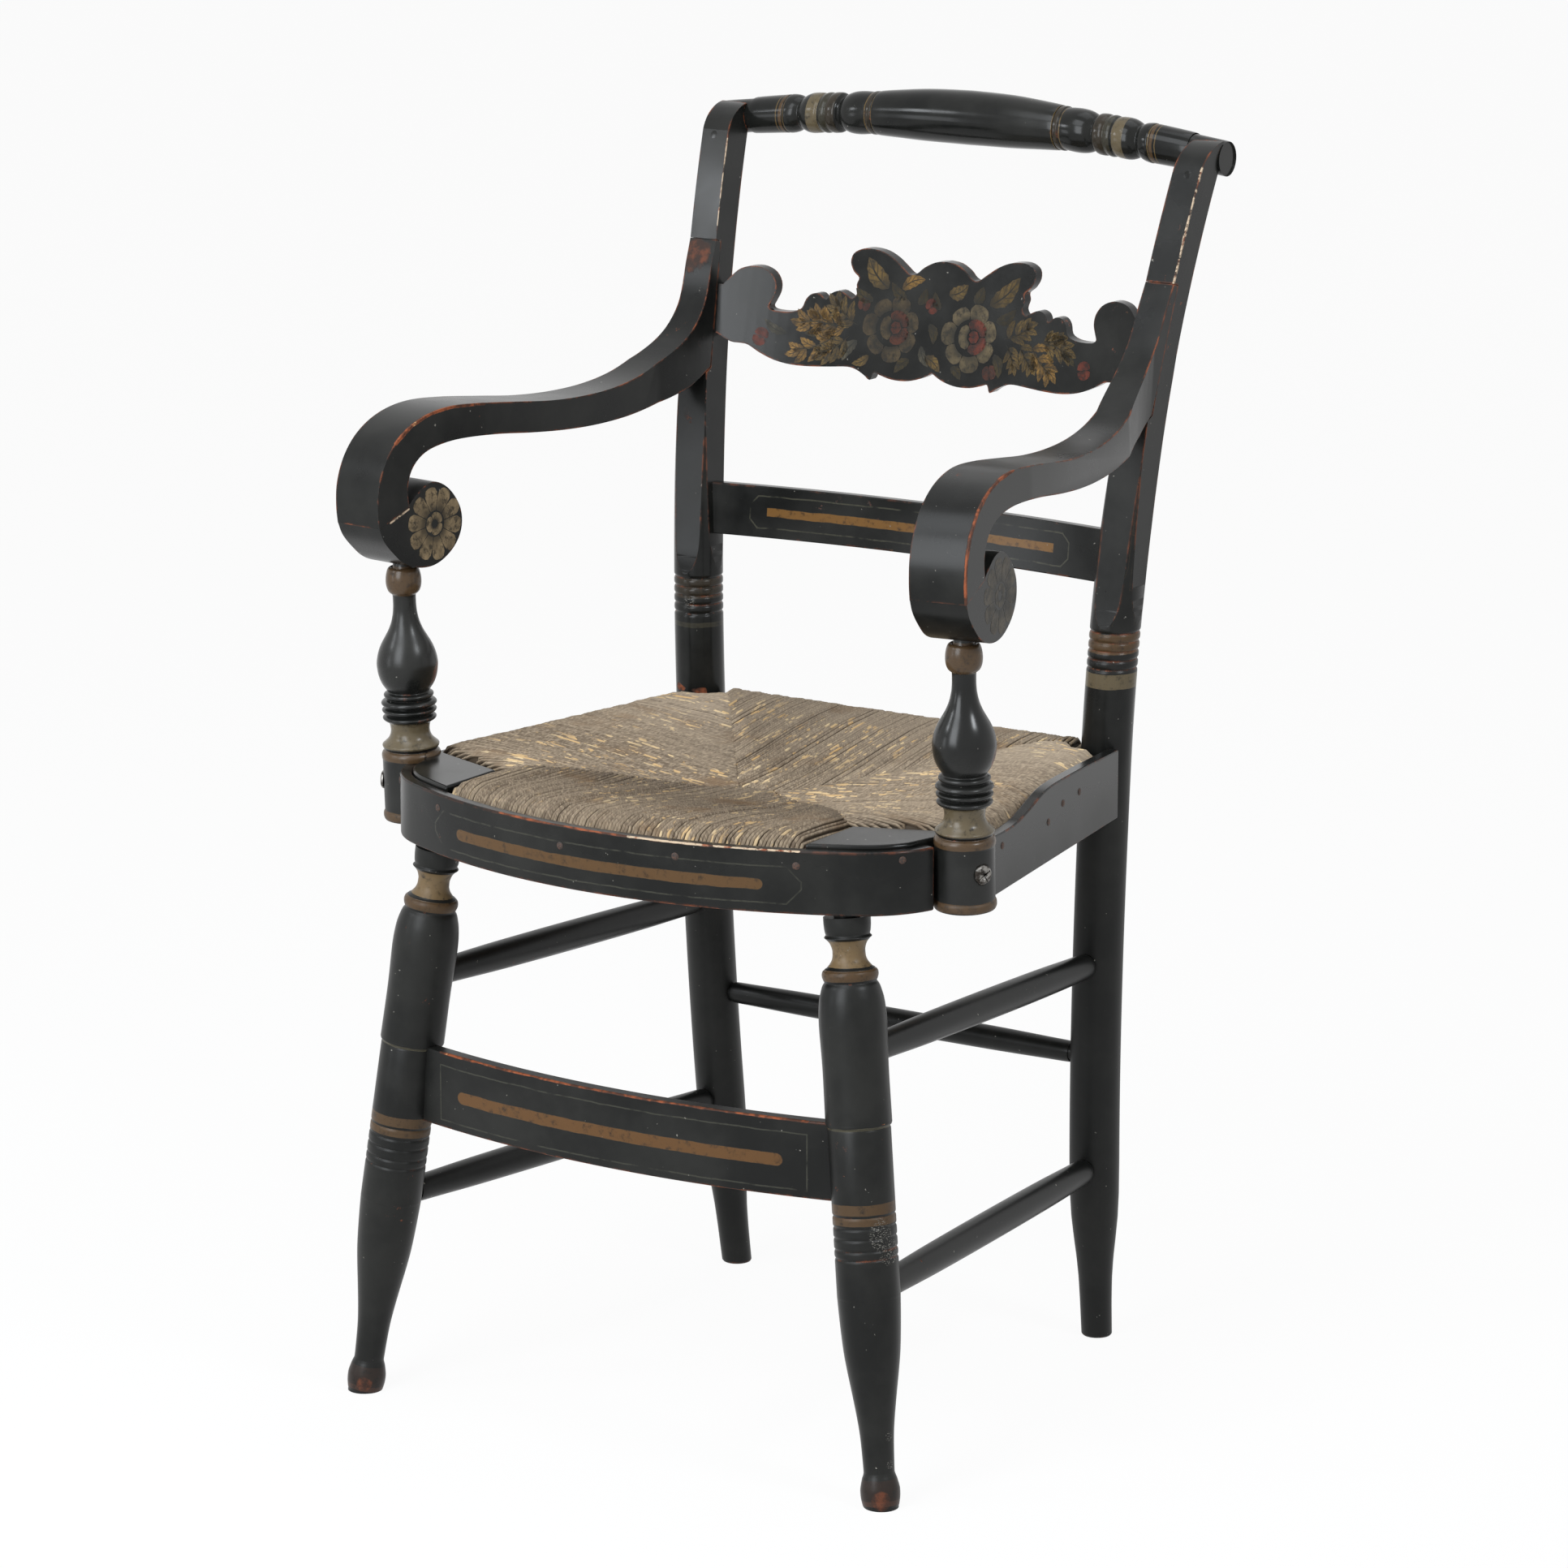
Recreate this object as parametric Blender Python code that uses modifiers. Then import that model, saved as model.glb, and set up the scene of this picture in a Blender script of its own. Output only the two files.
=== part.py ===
"""Painted rush-seat armchair: turned legs and arm posts, bent back posts, scrolled arms.

Metres, +Z up. The chair faces -Y and stands on z = 0. Right is +X, as seen from the front.
"""

import math

import bmesh
import bpy
from mathutils import Vector

# Clearances, and how far a drill or a saw cut runs past the wood
FIT = 0.0003
NOTCH_FIT = 0.0004
SOCKET_END_GAP = 0.0006
CUT_REACH = 0.0600

# Facets round a turning
POST_STEPS = 16
LEG_STEPS = 18
FINE_STEPS = 16
ROD_STEPS = 12
NOTCH_STEPS = 28

# Main heights: seat rails above the floor, then scroll and crest above the rails
SEAT_Z = 0.4200
ARM_RISE = 0.1550
BACK_RISE = 0.4390

# Back posts: splay, bend and round section
POST_FOOT_X = 0.1555
POST_SPLAY = 0.0347
POST_FLARE = 0.0117
POST_SEAT_Y = 0.1368
POST_FOOT_RAKE = 0.0235
POST_RAKE_POWER = 2.35
POST_BEND_BELOW_SEAT = 0.0200
POST_BEND_RISE = 0.4600
POST_SWEEP = 0.0793
POST_SWEEP_POWER = 2.37
POST_R = 0.0178
POST_FOOT_R = 0.0109
POST_TIP_SPARE = 0.0230
POST_TAPER = (
    (0.135, 1.000),
    (0.110, 0.985),
    (0.092, 0.930),
    (0.076, 0.840),
    (0.060, 0.740),
    (0.044, 0.675),
    (0.026, 0.640),
)
POST_ROWS_ABOVE = 9
POST_ROWS_BELOW = 4
POST_RING_RISE = 0.0785
POST_RING_PITCH = 0.0064
POST_RING_DEPTH = 0.0007
POST_RING_HALF = 0.0013
POST_RING_MARGIN = 0.0146
POST_RINGS = 5

# Flats shaved on the upper post: height above the seat rails, half width, front and back depth
POST_FACE_HALF = 0.0111
POST_DEPTH_HALF = 0.0128
SHAVED = (
    (0.0950, 0.0300, 0.0190, 0.0300),
    (0.1100, 0.0220, 0.0172, 0.0240),
    (0.1300, 0.0184, 0.0157, 0.0200),
    (0.1600, 0.0158, 0.0142, 0.0180),
    (0.1950, 0.0138, 0.0133, 0.0165),
    (0.2350, 0.0122, POST_DEPTH_HALF, 0.0150),
    (0.2800, POST_FACE_HALF, POST_DEPTH_HALF, 0.0138),
    (0.3200, POST_FACE_HALF, POST_DEPTH_HALF, POST_DEPTH_HALF),
)
UNSHAVED_HALF = 0.0300
SHAVED_ROWS_ABOVE = 4
SHAVED_ROWS_BELOW = 5

# Crest rail: distance from the middle and radius, drawn for one length, then arched
CREST_FALL = 0.0139
CREST_BEHIND_POST = 0.0191
CREST_DRAWN_HALF = 0.2068
CREST_END_R = 0.0123
CREST_NOTCH_X = 0.1812
CREST_PROFILE = (
    (0.0000, 0.0193),
    (0.0340, 0.0187),
    (0.0600, 0.0171),
    (0.0740, 0.0160),
    (0.0752, 0.0153),
    (0.0790, 0.0157),
    (0.0803, 0.0149),
    (0.0840, 0.0153),
    (0.0900, 0.0156),
    (0.0960, 0.0152),
    (0.1005, 0.0140),
    (0.1035, 0.0123),
    (0.1048, 0.0114),
    (0.1075, 0.0142),
    (0.1110, 0.0147),
    (0.1152, 0.0138),
    (0.1185, 0.0147),
    (0.1222, 0.0136),
    (0.1270, 0.0146),
    (0.1310, 0.0146),
    (0.1345, 0.0140),
    (0.1380, 0.0125),
    (0.1402, 0.0112),
    (0.1445, 0.0132),
    (0.1505, 0.0140),
    (0.1518, 0.0134),
    (0.1535, 0.0138),
    (0.1810, 0.0132),
    (CREST_NOTCH_X, CREST_END_R),
    (CREST_DRAWN_HALF, CREST_END_R),
)

# Tip of each back post: y and z from the crest rail's end, and the plug in it
TIP_CURVE = (
    (-0.0390, -0.0190),
    (-0.0372, -0.0110),
    (-0.0328, -0.0025),
    (-0.0265, 0.0045),
    (-0.0190, 0.0092),
    (-0.0120, 0.0118),
    (-0.0060, 0.0128),
)
PLUG_R = 0.0042
PLUG_LENGTH = 0.0120
PLUG_STAND = 0.0008
PLUG_FACE_Y = -0.0345
PLUG_FACE_Z = -0.0075
PLUG_SLOPE = 0.593
PLUG_OUT = 0.0010

# Shaped slat: half width and height above the tenon's foot, drawn for one width
SLAT_DROP = 0.1605
SLAT_TENON_TALL = 0.0345
SLAT_THICK = 0.0085
SLAT_BOW = 0.0200
SLAT_SETBACK = 0.0012
SLAT_TENON = 0.0080
SLAT_SHY = 0.0020
SLAT_DRAWN_END = 0.1728
SLAT_MARGIN = 0.0090
SLAT_STATIONS = 22
SLAT_OUTLINE = (
    (SLAT_DRAWN_END, SLAT_TENON_TALL),
    (0.1670, 0.0410),
    (0.1610, 0.0462),
    (0.1530, 0.0483),
    (0.1450, 0.0477),
    (0.1375, 0.0440),
    (0.1330, 0.0375),
    (0.1325, 0.0305),
    (0.1350, 0.0240),
    (0.1362, 0.0205),
    (0.1330, 0.0183),
    (0.1235, 0.0178),
    (0.1160, 0.0187),
    (0.1105, 0.0215),
    (0.1082, 0.0277),
    (0.1040, 0.0317),
    (0.0980, 0.0320),
    (0.0925, 0.0283),
    (0.0890, 0.0330),
    (0.0830, 0.0351),
    (0.0765, 0.0327),
    (0.0722, 0.0305),
    (0.0688, 0.0345),
    (0.0700, 0.0405),
    (0.0688, 0.0453),
    (0.0735, 0.0493),
    (0.0768, 0.0555),
    (0.0755, 0.0618),
    (0.0690, 0.0655),
    (0.0610, 0.0660),
    (0.0520, 0.0645),
    (0.0430, 0.0605),
    (0.0350, 0.0550),
    (0.0280, 0.0503),
    (0.0225, 0.0517),
    (0.0175, 0.0560),
    (0.0090, 0.0603),
    (0.0000, 0.0615),
)
SLAT_UNDERSIDE = (
    (0.0000, -0.0159),
    (0.0060, -0.0192),
    (0.0130, -0.0217),
    (0.0220, -0.0233),
    (0.0330, -0.0230),
    (0.0425, -0.0207),
    (0.0472, -0.0195),
    (0.0500, -0.0247),
    (0.0550, -0.0217),
    (0.0615, -0.0185),
    (0.0690, -0.0170),
    (0.0820, -0.0179),
    (0.0980, -0.0189),
    (0.1130, -0.0187),
    (0.1270, -0.0163),
    (0.1390, -0.0117),
    (0.1480, -0.0070),
    (0.1540, -0.0060),
    (0.1620, -0.0053),
    (SLAT_DRAWN_END, 0.0000),
)

# Lower slat
LOWER_SLAT_RISE = 0.1360
LOWER_SLAT_TALL = 0.0370
LOWER_SLAT_THICK = 0.0075
LOWER_SLAT_BOW = 0.0160
LOWER_SLAT_SETBACK = -0.0020
LOWER_SLAT_SHORT = 0.0080
LOWER_SLAT_STATIONS = 12
LOWER_SLAT_BEVEL = 0.0008

# Arms: outline forward of the arm post and above the scroll's foot, drawn for one reach
ARM_SET_BACK = 0.0019
ARM_BACK_OUT = 0.0015
ARM_BACK_AHEAD = 0.0199
ARM_DRAWN_RUN = 0.2950
ARM_FRONT_HALF = 0.0200
ARM_BACK_HALF = 0.0113
ARM_WIDE_TO = -0.0600
ARM_UPPER = (
    (-0.3070, 0.1730),
    (-0.2960, 0.1480),
    (-0.2790, 0.1290),
    (-0.2560, 0.1150),
    (-0.2280, 0.1040),
    (-0.1980, 0.0985),
    (-0.1650, 0.0970),
    (-0.1300, 0.0985),
    (-0.0950, 0.1025),
    (-0.0600, 0.1065),
    (-0.0300, 0.1085),
    (-0.0080, 0.1065),
    (0.0110, 0.1005),
    (0.0265, 0.0905),
    (0.0375, 0.0770),
    (0.0438, 0.0610),
    (0.0450, 0.0450),
    (0.0436, 0.0325),
)
ARM_LOWER = (
    (0.0145, 0.0440),
    (0.0158, 0.0580),
    (0.0105, 0.0710),
    (-0.0020, 0.0800),
    (-0.0220, 0.0840),
    (-0.0450, 0.0845),
    (-0.0750, 0.0825),
    (-0.1100, 0.0785),
    (-0.1450, 0.0755),
    (-0.1800, 0.0745),
    (-0.2150, 0.0762),
    (-0.2480, 0.0815),
    (-0.2750, 0.0890),
)
SCROLL_ROUND = (
    (0.0140, 0.0437 - FIT),
    (0.0080, 0.0512 - FIT),
    (-0.0010, 0.0566),
    (-0.0105, 0.0583),
    (-0.0210, 0.0540),
    (-0.0300, 0.0455),
    (-0.0360, 0.0345),
    (-0.0362, 0.0225),
    (-0.0305, 0.0120),
    (-0.0200, 0.0040),
    (-0.0080, 0.0000),
    (0.0060, 0.0005),
    (0.0200, 0.0055),
    (0.0310, 0.0145),
    (0.0392, 0.0235),
    (0.0432, 0.0322 - FIT),
)
ARM_REBATE = 0.0060
ARM_REBATE_LOW = 0.0970
ARM_REBATE_TALL = 0.0930
ARM_HEEL = 0.0040
ARM_BEVEL = 0.0010

# Arm posts: radius and height above the base, drawn for one height
SUPPORT_PAST_TRIM_X = 0.0102
SUPPORT_PAST_TRIM_Y = 0.0217
SUPPORT_BELOW_RAIL = 0.0260
SUPPORT_LEAN_Y = -0.0370
SUPPORT_LEAN_X = 0.0095
SUPPORT_FLAT = 0.0125
SUPPORT_FLAT_TALL = 0.0510
SUPPORT_TOP_GAP = 0.0016
SUPPORT_TENON_R = 0.0070
SUPPORT_TENON = 0.0136
SUPPORT_DRAWN_TALL = 0.1794
SUPPORT_PROFILE = (
    (0.0092, SUPPORT_DRAWN_TALL),
    (0.0114, 0.1770),
    (0.0124, 0.1695),
    (0.0113, 0.1636),
    (0.0082, 0.1600),
    (0.0081, 0.1520),
    (0.0086, 0.1460),
    (0.0116, 0.1355),
    (0.0144, 0.1305),
    (0.0174, 0.1252),
    (0.0199, 0.1190),
    (0.0213, 0.1105),
    (0.0203, 0.1028),
    (0.0184, 0.0975),
    (0.0158, 0.0934),
    (0.0148, 0.0916),
    (0.0168, 0.0900),
    (0.0174, 0.0882),
    (0.0156, 0.0862),
    (0.0186, 0.0848),
    (0.0193, 0.0828),
    (0.0160, 0.0806),
    (0.0186, 0.0792),
    (0.0190, 0.0774),
    (0.0158, 0.0752),
    (0.0182, 0.0738),
    (0.0184, 0.0720),
    (0.0148, 0.0694),
    (0.0135, 0.0632),
    (0.0148, 0.0590),
    (0.0176, 0.0556),
    (0.0196, 0.0536),
    (0.0195, 0.0516),
    (0.0184, 0.0500),
    (0.0200, 0.0482),
    (0.0204, 0.0460),
    (0.0201, 0.0420),
    (0.0201, 0.0078),
    (0.0198, 0.0066),
    (0.0209, 0.0050),
    (0.0211, 0.0028),
    (0.0203, 0.0000),
)
SCREW_RISE = 0.0005
SCREW_TURN = -22.99
SCREW_SEAT = 0.0199
SCREW_BITE = 0.0060
SCREW_HEAD_R = 0.0066
SCREW_HEAD_H = 0.0022
SCREW_CROWN_R = 0.0040
SCREW_SHANK_R = 0.0026
SPOTFACE_MARGIN = 0.0010

# Seat plan: bowed front, round corners and trim boards
SEAT_FRONT_Y = -0.2487
BOW_R = 0.3900
CORNER_X = 0.1800
CORNER_R = 0.0700
CORNER_END = 74.0
BOW_STEPS = 8
CORNER_STEPS = 6
TRIM_BELOW_RAIL = 0.0250
TRIM_HIGH = 0.0430
TRIM_THICK = 0.0085
TRIM_BEVEL = 0.0012
TRIM_BEVEL_ANGLE = 60.0
SIDE_OUT = 0.0092
SIDE_BEHIND_SUPPORT = 0.0217
SIDE_PAST_POST = 0.0014
LEFT_TRIM_HIGH = 0.0395
SIDE_TOP = (
    (0.000, 0.0415),
    (0.110, 0.0405),
    (0.200, 0.0410),
    (0.290, 0.0445),
    (0.380, 0.0495),
    (0.460, 0.0520),
    (0.560, 0.0522),
    (0.700, 0.0515),
    (0.850, 0.0502),
    (1.000, 0.0490),
)

# Corner blocks, set out from the leg's top and the arm post
BLOCK_BELOW_RAIL = 0.0257
BLOCK_TALL = 0.0465
BLOCK_INSIDE_LEG = 0.0231
BLOCK_BEHIND_LEG = 0.0410
BLOCK_INSIDE_SUPPORT = 0.0144
BLOCK_BEHIND_SUPPORT = 0.0125
BLOCK_ROUND_END = 62.0
BLOCK_FLAT_FRONT = 0.0185
BLOCK_FLAT_BACK = 0.0045
BLOCK_BEVEL = 0.0022

# Seat rails
RAIL_WIDE = 0.0115
RAIL_DEEP = 0.0110
RAIL_NECK = 0.94
RAIL_TENON_R = 0.0072
RAIL_TENON = 0.0120
RAIL_SEAT_DEPTH = 0.0108
FRONT_RAIL_TENON = 0.0055
FRONT_RAIL_END_GAP = 0.0043
FRONT_RAIL_COVER = 0.0075
SIDE_RAIL_COVER = 0.0108
SIDE_RAIL_SEAT = 0.0135
SIDE_RAIL_OFF_POST = 0.0060

# Rush, measured from the rails' middle
RUSH_RISE = 0.0245
RUSH_UNDER = 0.0205
RUSH_EDGE_RISE = 0.0100
RUSH_EDGE_UNDER = 0.0130
RUSH_DIP = 0.0200
RUSH_UNDER_LIFT = 0.0005
RUSH_ROUND = 0.0200
RUSH_SEAM = 0.0016
RUSH_BACK = 0.0124
RUSH_CENTRE_Y = -0.0480
RUSH_RIDGE = 0.0140
RUSH_RIDGE_SHARE = 0.25
RUSH_GAP = 0.0004
RUSH_POST_GAP = 0.0012
RUSH_OFF_BLOCK = 0.0018
RUSH_BEHIND_BLOCK = 0.0045
RUSH_SHORT_OF_TRIM = 0.0131
RUSH_PAST_POST = 0.0040
RUSH_UPPER = (0.12, 0.36, 0.60, 0.80, 0.90, 0.96, 1.0)
RUSH_LOWER = (1.0, 0.955, 0.80, 0.15)

# Front legs: radius and length, the foot measured up from the floor, the top down from the shoulder
LEG_INSIDE_CORNER_X = 0.0203
LEG_INSIDE_CORNER_Y = -0.0508
LEG_SPLAY_X = 0.0459
LEG_SPLAY_Y = -0.0295
LEG_TOP_BELOW_RAIL = 0.0440
LEG_SHOULDER_GAP = 0.0032
LEG_TENON_R = 0.0088
LEG_TENON = 0.0348
LEG_TOP = (
    (0.0157, 0.0000),
    (0.0156, 0.0052),
    (0.0149, 0.0116),
    (0.0156, 0.0137),
    (0.0122, 0.0180),
    (0.0109, 0.0217),
    (0.0109, 0.0272),
    (0.0152, 0.0338),
    (0.0181, 0.0360),
    (0.0186, 0.0386),
    (0.0182, 0.0416),
    (0.0175, 0.0436),
    (0.0196, 0.0472),
    (0.0217, 0.0567),
    (0.0226, 0.0712),
    (0.0219, 0.1002),
    (0.0221, 0.1362),
    (0.0218, 0.1384),
    (0.0208, 0.1396),
    (0.0211, 0.1422),
)
LEG_FOOT = (
    (0.0211, 0.1740),
    (0.0203, 0.1728),
    (0.0211, 0.1716),
    (0.0203, 0.1664),
    (0.0211, 0.1652),
    (0.0203, 0.1600),
    (0.0211, 0.1588),
    (0.0211, 0.1450),
    (0.0202, 0.1230),
    (0.0190, 0.1060),
    (0.0174, 0.0930),
    (0.0150, 0.0770),
    (0.0126, 0.0600),
    (0.0112, 0.0460),
    (0.0104, 0.0240),
    (0.0115, 0.0195),
    (0.0132, 0.0105),
    (0.0130, 0.0055),
    (0.0118, 0.0005),
    (0.0118, -0.0060),
)

# Stretchers
SIDE_STRETCHER_R = 0.0104
BACK_STRETCHER_R = 0.0088
STRETCHER_NECK = 0.86
STRETCHER_SWELL = 0.32
STRETCHER_TENON_R = 0.0070
STRETCHER_TENON = 0.0120
LEG_SEAT_DEPTH = 0.0120
POST_SEAT_DEPTH = 0.0080
UPPER_FRONT_Z = 0.2990
UPPER_BACK_Z = 0.2840
LOWER_FRONT_Z = 0.1408
LOWER_BACK_Z = 0.1310
BACK_STRETCHER_Z = 0.2140
BOARD_Z = 0.2000
BOARD_TALL = 0.0537
BOARD_THICK = 0.0105
BOARD_BOW = 0.0200
BOARD_TENON = 0.0080
BOARD_SHOULDER = 0.0205
BOARD_AHEAD = 0.0012
BOARD_STATIONS = 14
BOARD_BEVEL = 0.0010

for old in list(bpy.data.objects):
    bpy.data.objects.remove(old)

parts = bpy.data.collections.new("rush_seat_armchair")
cutters = bpy.data.collections.new("cutters")
bpy.context.scene.collection.children.link(parts)
bpy.context.scene.collection.children.link(cutters)


def paint(name, colour, roughness, metallic=0.0):
    made = bpy.data.materials.new(name)
    made.use_nodes = True
    shader = made.node_tree.nodes["Principled BSDF"]
    shader.inputs["Base Color"].default_value = (*colour, 1.0)
    shader.inputs["Roughness"].default_value = roughness
    shader.inputs["Metallic"].default_value = metallic
    return made


black_paint = paint("black_paint", (0.014, 0.016, 0.014), 0.38)
stencil_black = paint("stencilled_black", (0.018, 0.019, 0.016), 0.42)
rail_wood = paint("bare_seat_rail", (0.32, 0.21, 0.12), 0.75)
rush = paint("aged_rush", (0.20, 0.15, 0.09), 0.85)
steel = paint("worn_steel", (0.42, 0.40, 0.37), 0.42, 1.0)


def put(name, mesh, material, into=parts):
    mesh.name = name
    mesh.shade_smooth()
    mesh.set_sharp_from_angle(angle=math.radians(34.0))
    made = bpy.data.objects.new(name, mesh)
    made.data.materials.clear()
    made.data.materials.append(material)
    into.objects.link(made)
    return made


def cutter(name, mesh):
    made = put(name, mesh, black_paint, cutters)
    made.hide_render = True
    made.display_type = "WIRE"
    return made


def cut(target, tool, operation="DIFFERENCE", solver="EXACT"):
    step = target.modifiers.new(tool.name, "BOOLEAN")
    step.operation = operation
    step.solver = solver
    step.object = tool


def evaluated(made):
    bpy.context.view_layer.update()
    graph = bpy.context.evaluated_depsgraph_get()
    return bpy.data.meshes.new_from_object(made.evaluated_get(graph))


def welded(mesh, within=0.00001):
    work = bmesh.new()
    work.from_mesh(mesh)
    bmesh.ops.remove_doubles(work, verts=work.verts, dist=within)
    bmesh.ops.recalc_face_normals(work, faces=work.faces)
    work.to_mesh(mesh)
    work.free()
    return mesh


def turned(profile, steps=ROD_STEPS):
    """A turning about Z from (radius, height) pairs that run from top to bottom."""
    points = [(0.0, profile[0][1]), *profile, (0.0, profile[-1][1])]
    line = bpy.data.meshes.new("profile")
    edges = [(i, i + 1) for i in range(len(points) - 1)]
    line.from_pydata([(r, 0.0, z) for r, z in points], edges, [])
    made = bpy.data.objects.new("turning", line)
    cutters.objects.link(made)
    lathe = made.modifiers.new("lathe", "SCREW")
    lathe.axis = "Z"
    lathe.steps = steps
    lathe.render_steps = steps
    lathe.use_merge_vertices = True
    lathe.merge_threshold = 0.00005
    mesh = evaluated(made)
    bpy.data.objects.remove(made)
    return welded(mesh)


def prism(outline, low=-1.0, high=1.0):
    """A flat outline given in x and y, filled and made thick from low to high in z."""
    drawn = bpy.data.curves.new("outline", "CURVE")
    drawn.dimensions = "2D"
    drawn.fill_mode = "BOTH"
    drawn.extrude = (high - low) / 2
    edge = drawn.splines.new("POLY")
    edge.points.add(len(outline) - 1)
    for point, (x, y) in zip(edge.points, outline):
        point.co = (x, y, 0.0, 1.0)
    edge.use_cyclic_u = True
    made = bpy.data.objects.new("outline", drawn)
    cutters.objects.link(made)
    mesh = evaluated(made)
    bpy.data.objects.remove(made)
    for vertex in mesh.vertices:
        vertex.co.z += (high + low) / 2
    return welded(mesh)


def mapped(mesh, place):
    for vertex in mesh.vertices:
        vertex.co = place(*vertex.co)
    return welded(mesh)


def loft(sections):
    """A closed body through sections that have the same number of points."""
    work = bmesh.new()
    rows = [[work.verts.new(p) for p in row] for row in sections]
    count = len(rows[0])
    for a, b in zip(rows, rows[1:]):
        for i in range(count):
            j = (i + 1) % count
            work.faces.new((a[i], a[j], b[j], b[i]))
    work.faces.new(list(reversed(rows[0])))
    work.faces.new(rows[-1])
    bmesh.ops.recalc_face_normals(work, faces=work.faces)
    mesh = bpy.data.meshes.new("loft")
    work.to_mesh(mesh)
    work.free()
    return mesh


def along(start, end, mesh):
    """Stands a body that was made along +Z from start toward end."""
    turn = (Vector(end) - Vector(start)).to_track_quat("Z", "Y")
    return mapped(mesh, lambda x, y, z: Vector(start) + turn @ Vector((x, y, z)))


def smooth(points, between=2):
    """Points on a curve through the given points, ends kept."""
    ends = [points[0], *points, points[-1]]
    found = []
    for a, b, c, d in zip(ends, ends[1:], ends[2:], ends[3:]):
        for k in range(between):
            t = k / between
            found.append(tuple(
                0.5 * (2 * q + (r - p) * t + (2 * p - 5 * q + 4 * r - s) * t * t
                       + (3 * q - p - 3 * r + s) * t ** 3)
                for p, q, r, s in zip(a, b, c, d)))
    return [*found, points[-1]]


def steps_between(first, last, count):
    return [first + (last - first) * k / count for k in range(count + 1)]


def rounded(made, width, angle=40.0):
    edge = made.modifiers.new("eased_edges", "BEVEL")
    edge.width = width
    edge.segments = 1
    edge.limit_method = "ANGLE"
    edge.angle_limit = math.radians(angle)


def mirrored(right, name):
    """The left-hand piece: the right-hand one turned over across x = 0."""
    made = bpy.data.objects.new(name, evaluated(right))
    made.scale.x = -1.0
    parts.objects.link(made)
    return made


def rod(start, end, radius, steps=ROD_STEPS):
    """A plain round cutter from one point to another."""
    length = (end - start).length
    return along(start, end, turned(((radius, length), (radius, 0.0)), steps))


def between(start, end, start_in, end_in):
    """Two points on the line from start to end, moved in from each end."""
    run = (end - start).normalized()
    return start + run * start_in, end - run * end_in


def socket(name, seat, toward, radius):
    """A drill for a tenon: from just past its end, out through the surface it enters."""
    run = (toward - seat).normalized()
    return cutter(name, rod(seat - run * SOCKET_END_GAP, seat + run * CUT_REACH, radius + FIT))


# Lines that the pieces are set out on
def post_axis(z):
    bend_z = SEAT_Z - POST_BEND_BELOW_SEAT
    rise = max(z - bend_z, 0.0) / POST_BEND_RISE
    fall = max(bend_z - z, 0.0) / bend_z
    x = POST_FOOT_X + POST_SPLAY * z + POST_FLARE * rise ** 2
    y = POST_SEAT_Y + POST_SWEEP * rise ** POST_SWEEP_POWER
    return Vector((x, y + POST_FOOT_RAKE * fall ** POST_RAKE_POWER, z))


def post_front(z):
    return post_axis(z).y - POST_DEPTH_HALF


crest_z = SEAT_Z + BACK_RISE
crest_end_z = crest_z - CREST_FALL
crest_half = post_axis(crest_end_z).x + POST_FACE_HALF
crest_y = post_axis(crest_end_z).y + CREST_BEHIND_POST


def crest_height(x):
    return crest_z - CREST_FALL * (x / crest_half) ** 2


bow_y = SEAT_FRONT_Y + BOW_R
corner_from = math.asin(CORNER_X / BOW_R)
corner_to = math.radians(CORNER_END)
corner_x = CORNER_X - CORNER_R * math.sin(corner_from)
corner_y = bow_y - (BOW_R - CORNER_R) * math.cos(corner_from)


def front_path(angle, inset=0.0):
    """A point on the front trim's outline at this angle off the front, moved in by inset."""
    if angle <= corner_from:
        return ((BOW_R - inset) * math.sin(angle), bow_y - (BOW_R - inset) * math.cos(angle))
    reach = CORNER_R - inset
    return (corner_x + reach * math.sin(angle), corner_y - reach * math.cos(angle))


def bow_front(x, inset):
    return bow_y - math.sqrt((BOW_R - inset) ** 2 - x * x)


leg_top_x = corner_x + LEG_INSIDE_CORNER_X
leg_top_y = corner_y + LEG_INSIDE_CORNER_Y
leg_top = Vector((leg_top_x, leg_top_y, SEAT_Z - LEG_TOP_BELOW_RAIL))
leg_foot = Vector((leg_top.x + LEG_SPLAY_X, leg_top.y + LEG_SPLAY_Y, 0.0))
leg_run = (leg_top - leg_foot).normalized()


def leg_axis(z):
    return leg_foot + leg_run * (z / leg_run.z)


trim_end = front_path(corner_to)
support_x = trim_end[0] + SUPPORT_PAST_TRIM_X
support_y = trim_end[1] + SUPPORT_PAST_TRIM_Y
support_z = SEAT_Z - SUPPORT_BELOW_RAIL
scroll_z = SEAT_Z + ARM_RISE


def support_axis(z):
    up = z - support_z
    return Vector((support_x + SUPPORT_LEAN_X * up, support_y + SUPPORT_LEAN_Y * up, z))


# Side trims run from behind the arm post to the round of the back post
rail_post = post_axis(SEAT_Z)
side_front = Vector((support_x + SIDE_OUT, support_y))
side_back_x = rail_post.x + POST_R + SIDE_PAST_POST
side_front_y = support_y + SIDE_BEHIND_SUPPORT
trim_inside = side_back_x - TRIM_THICK - rail_post.x
side_back_y = rail_post.y - math.sqrt((POST_R + FIT) ** 2 - trim_inside ** 2)
side_taper = (side_front.x - side_back_x) / (side_back_y - side_front.y)


def side_x(y, inset=0.0):
    return side_front.x - side_taper * (y - side_front.y) - inset * math.hypot(1.0, side_taper)


# Back post: turned straight with five scratch rings, then bent
post_top_z = crest_end_z + POST_TIP_SPARE


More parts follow.
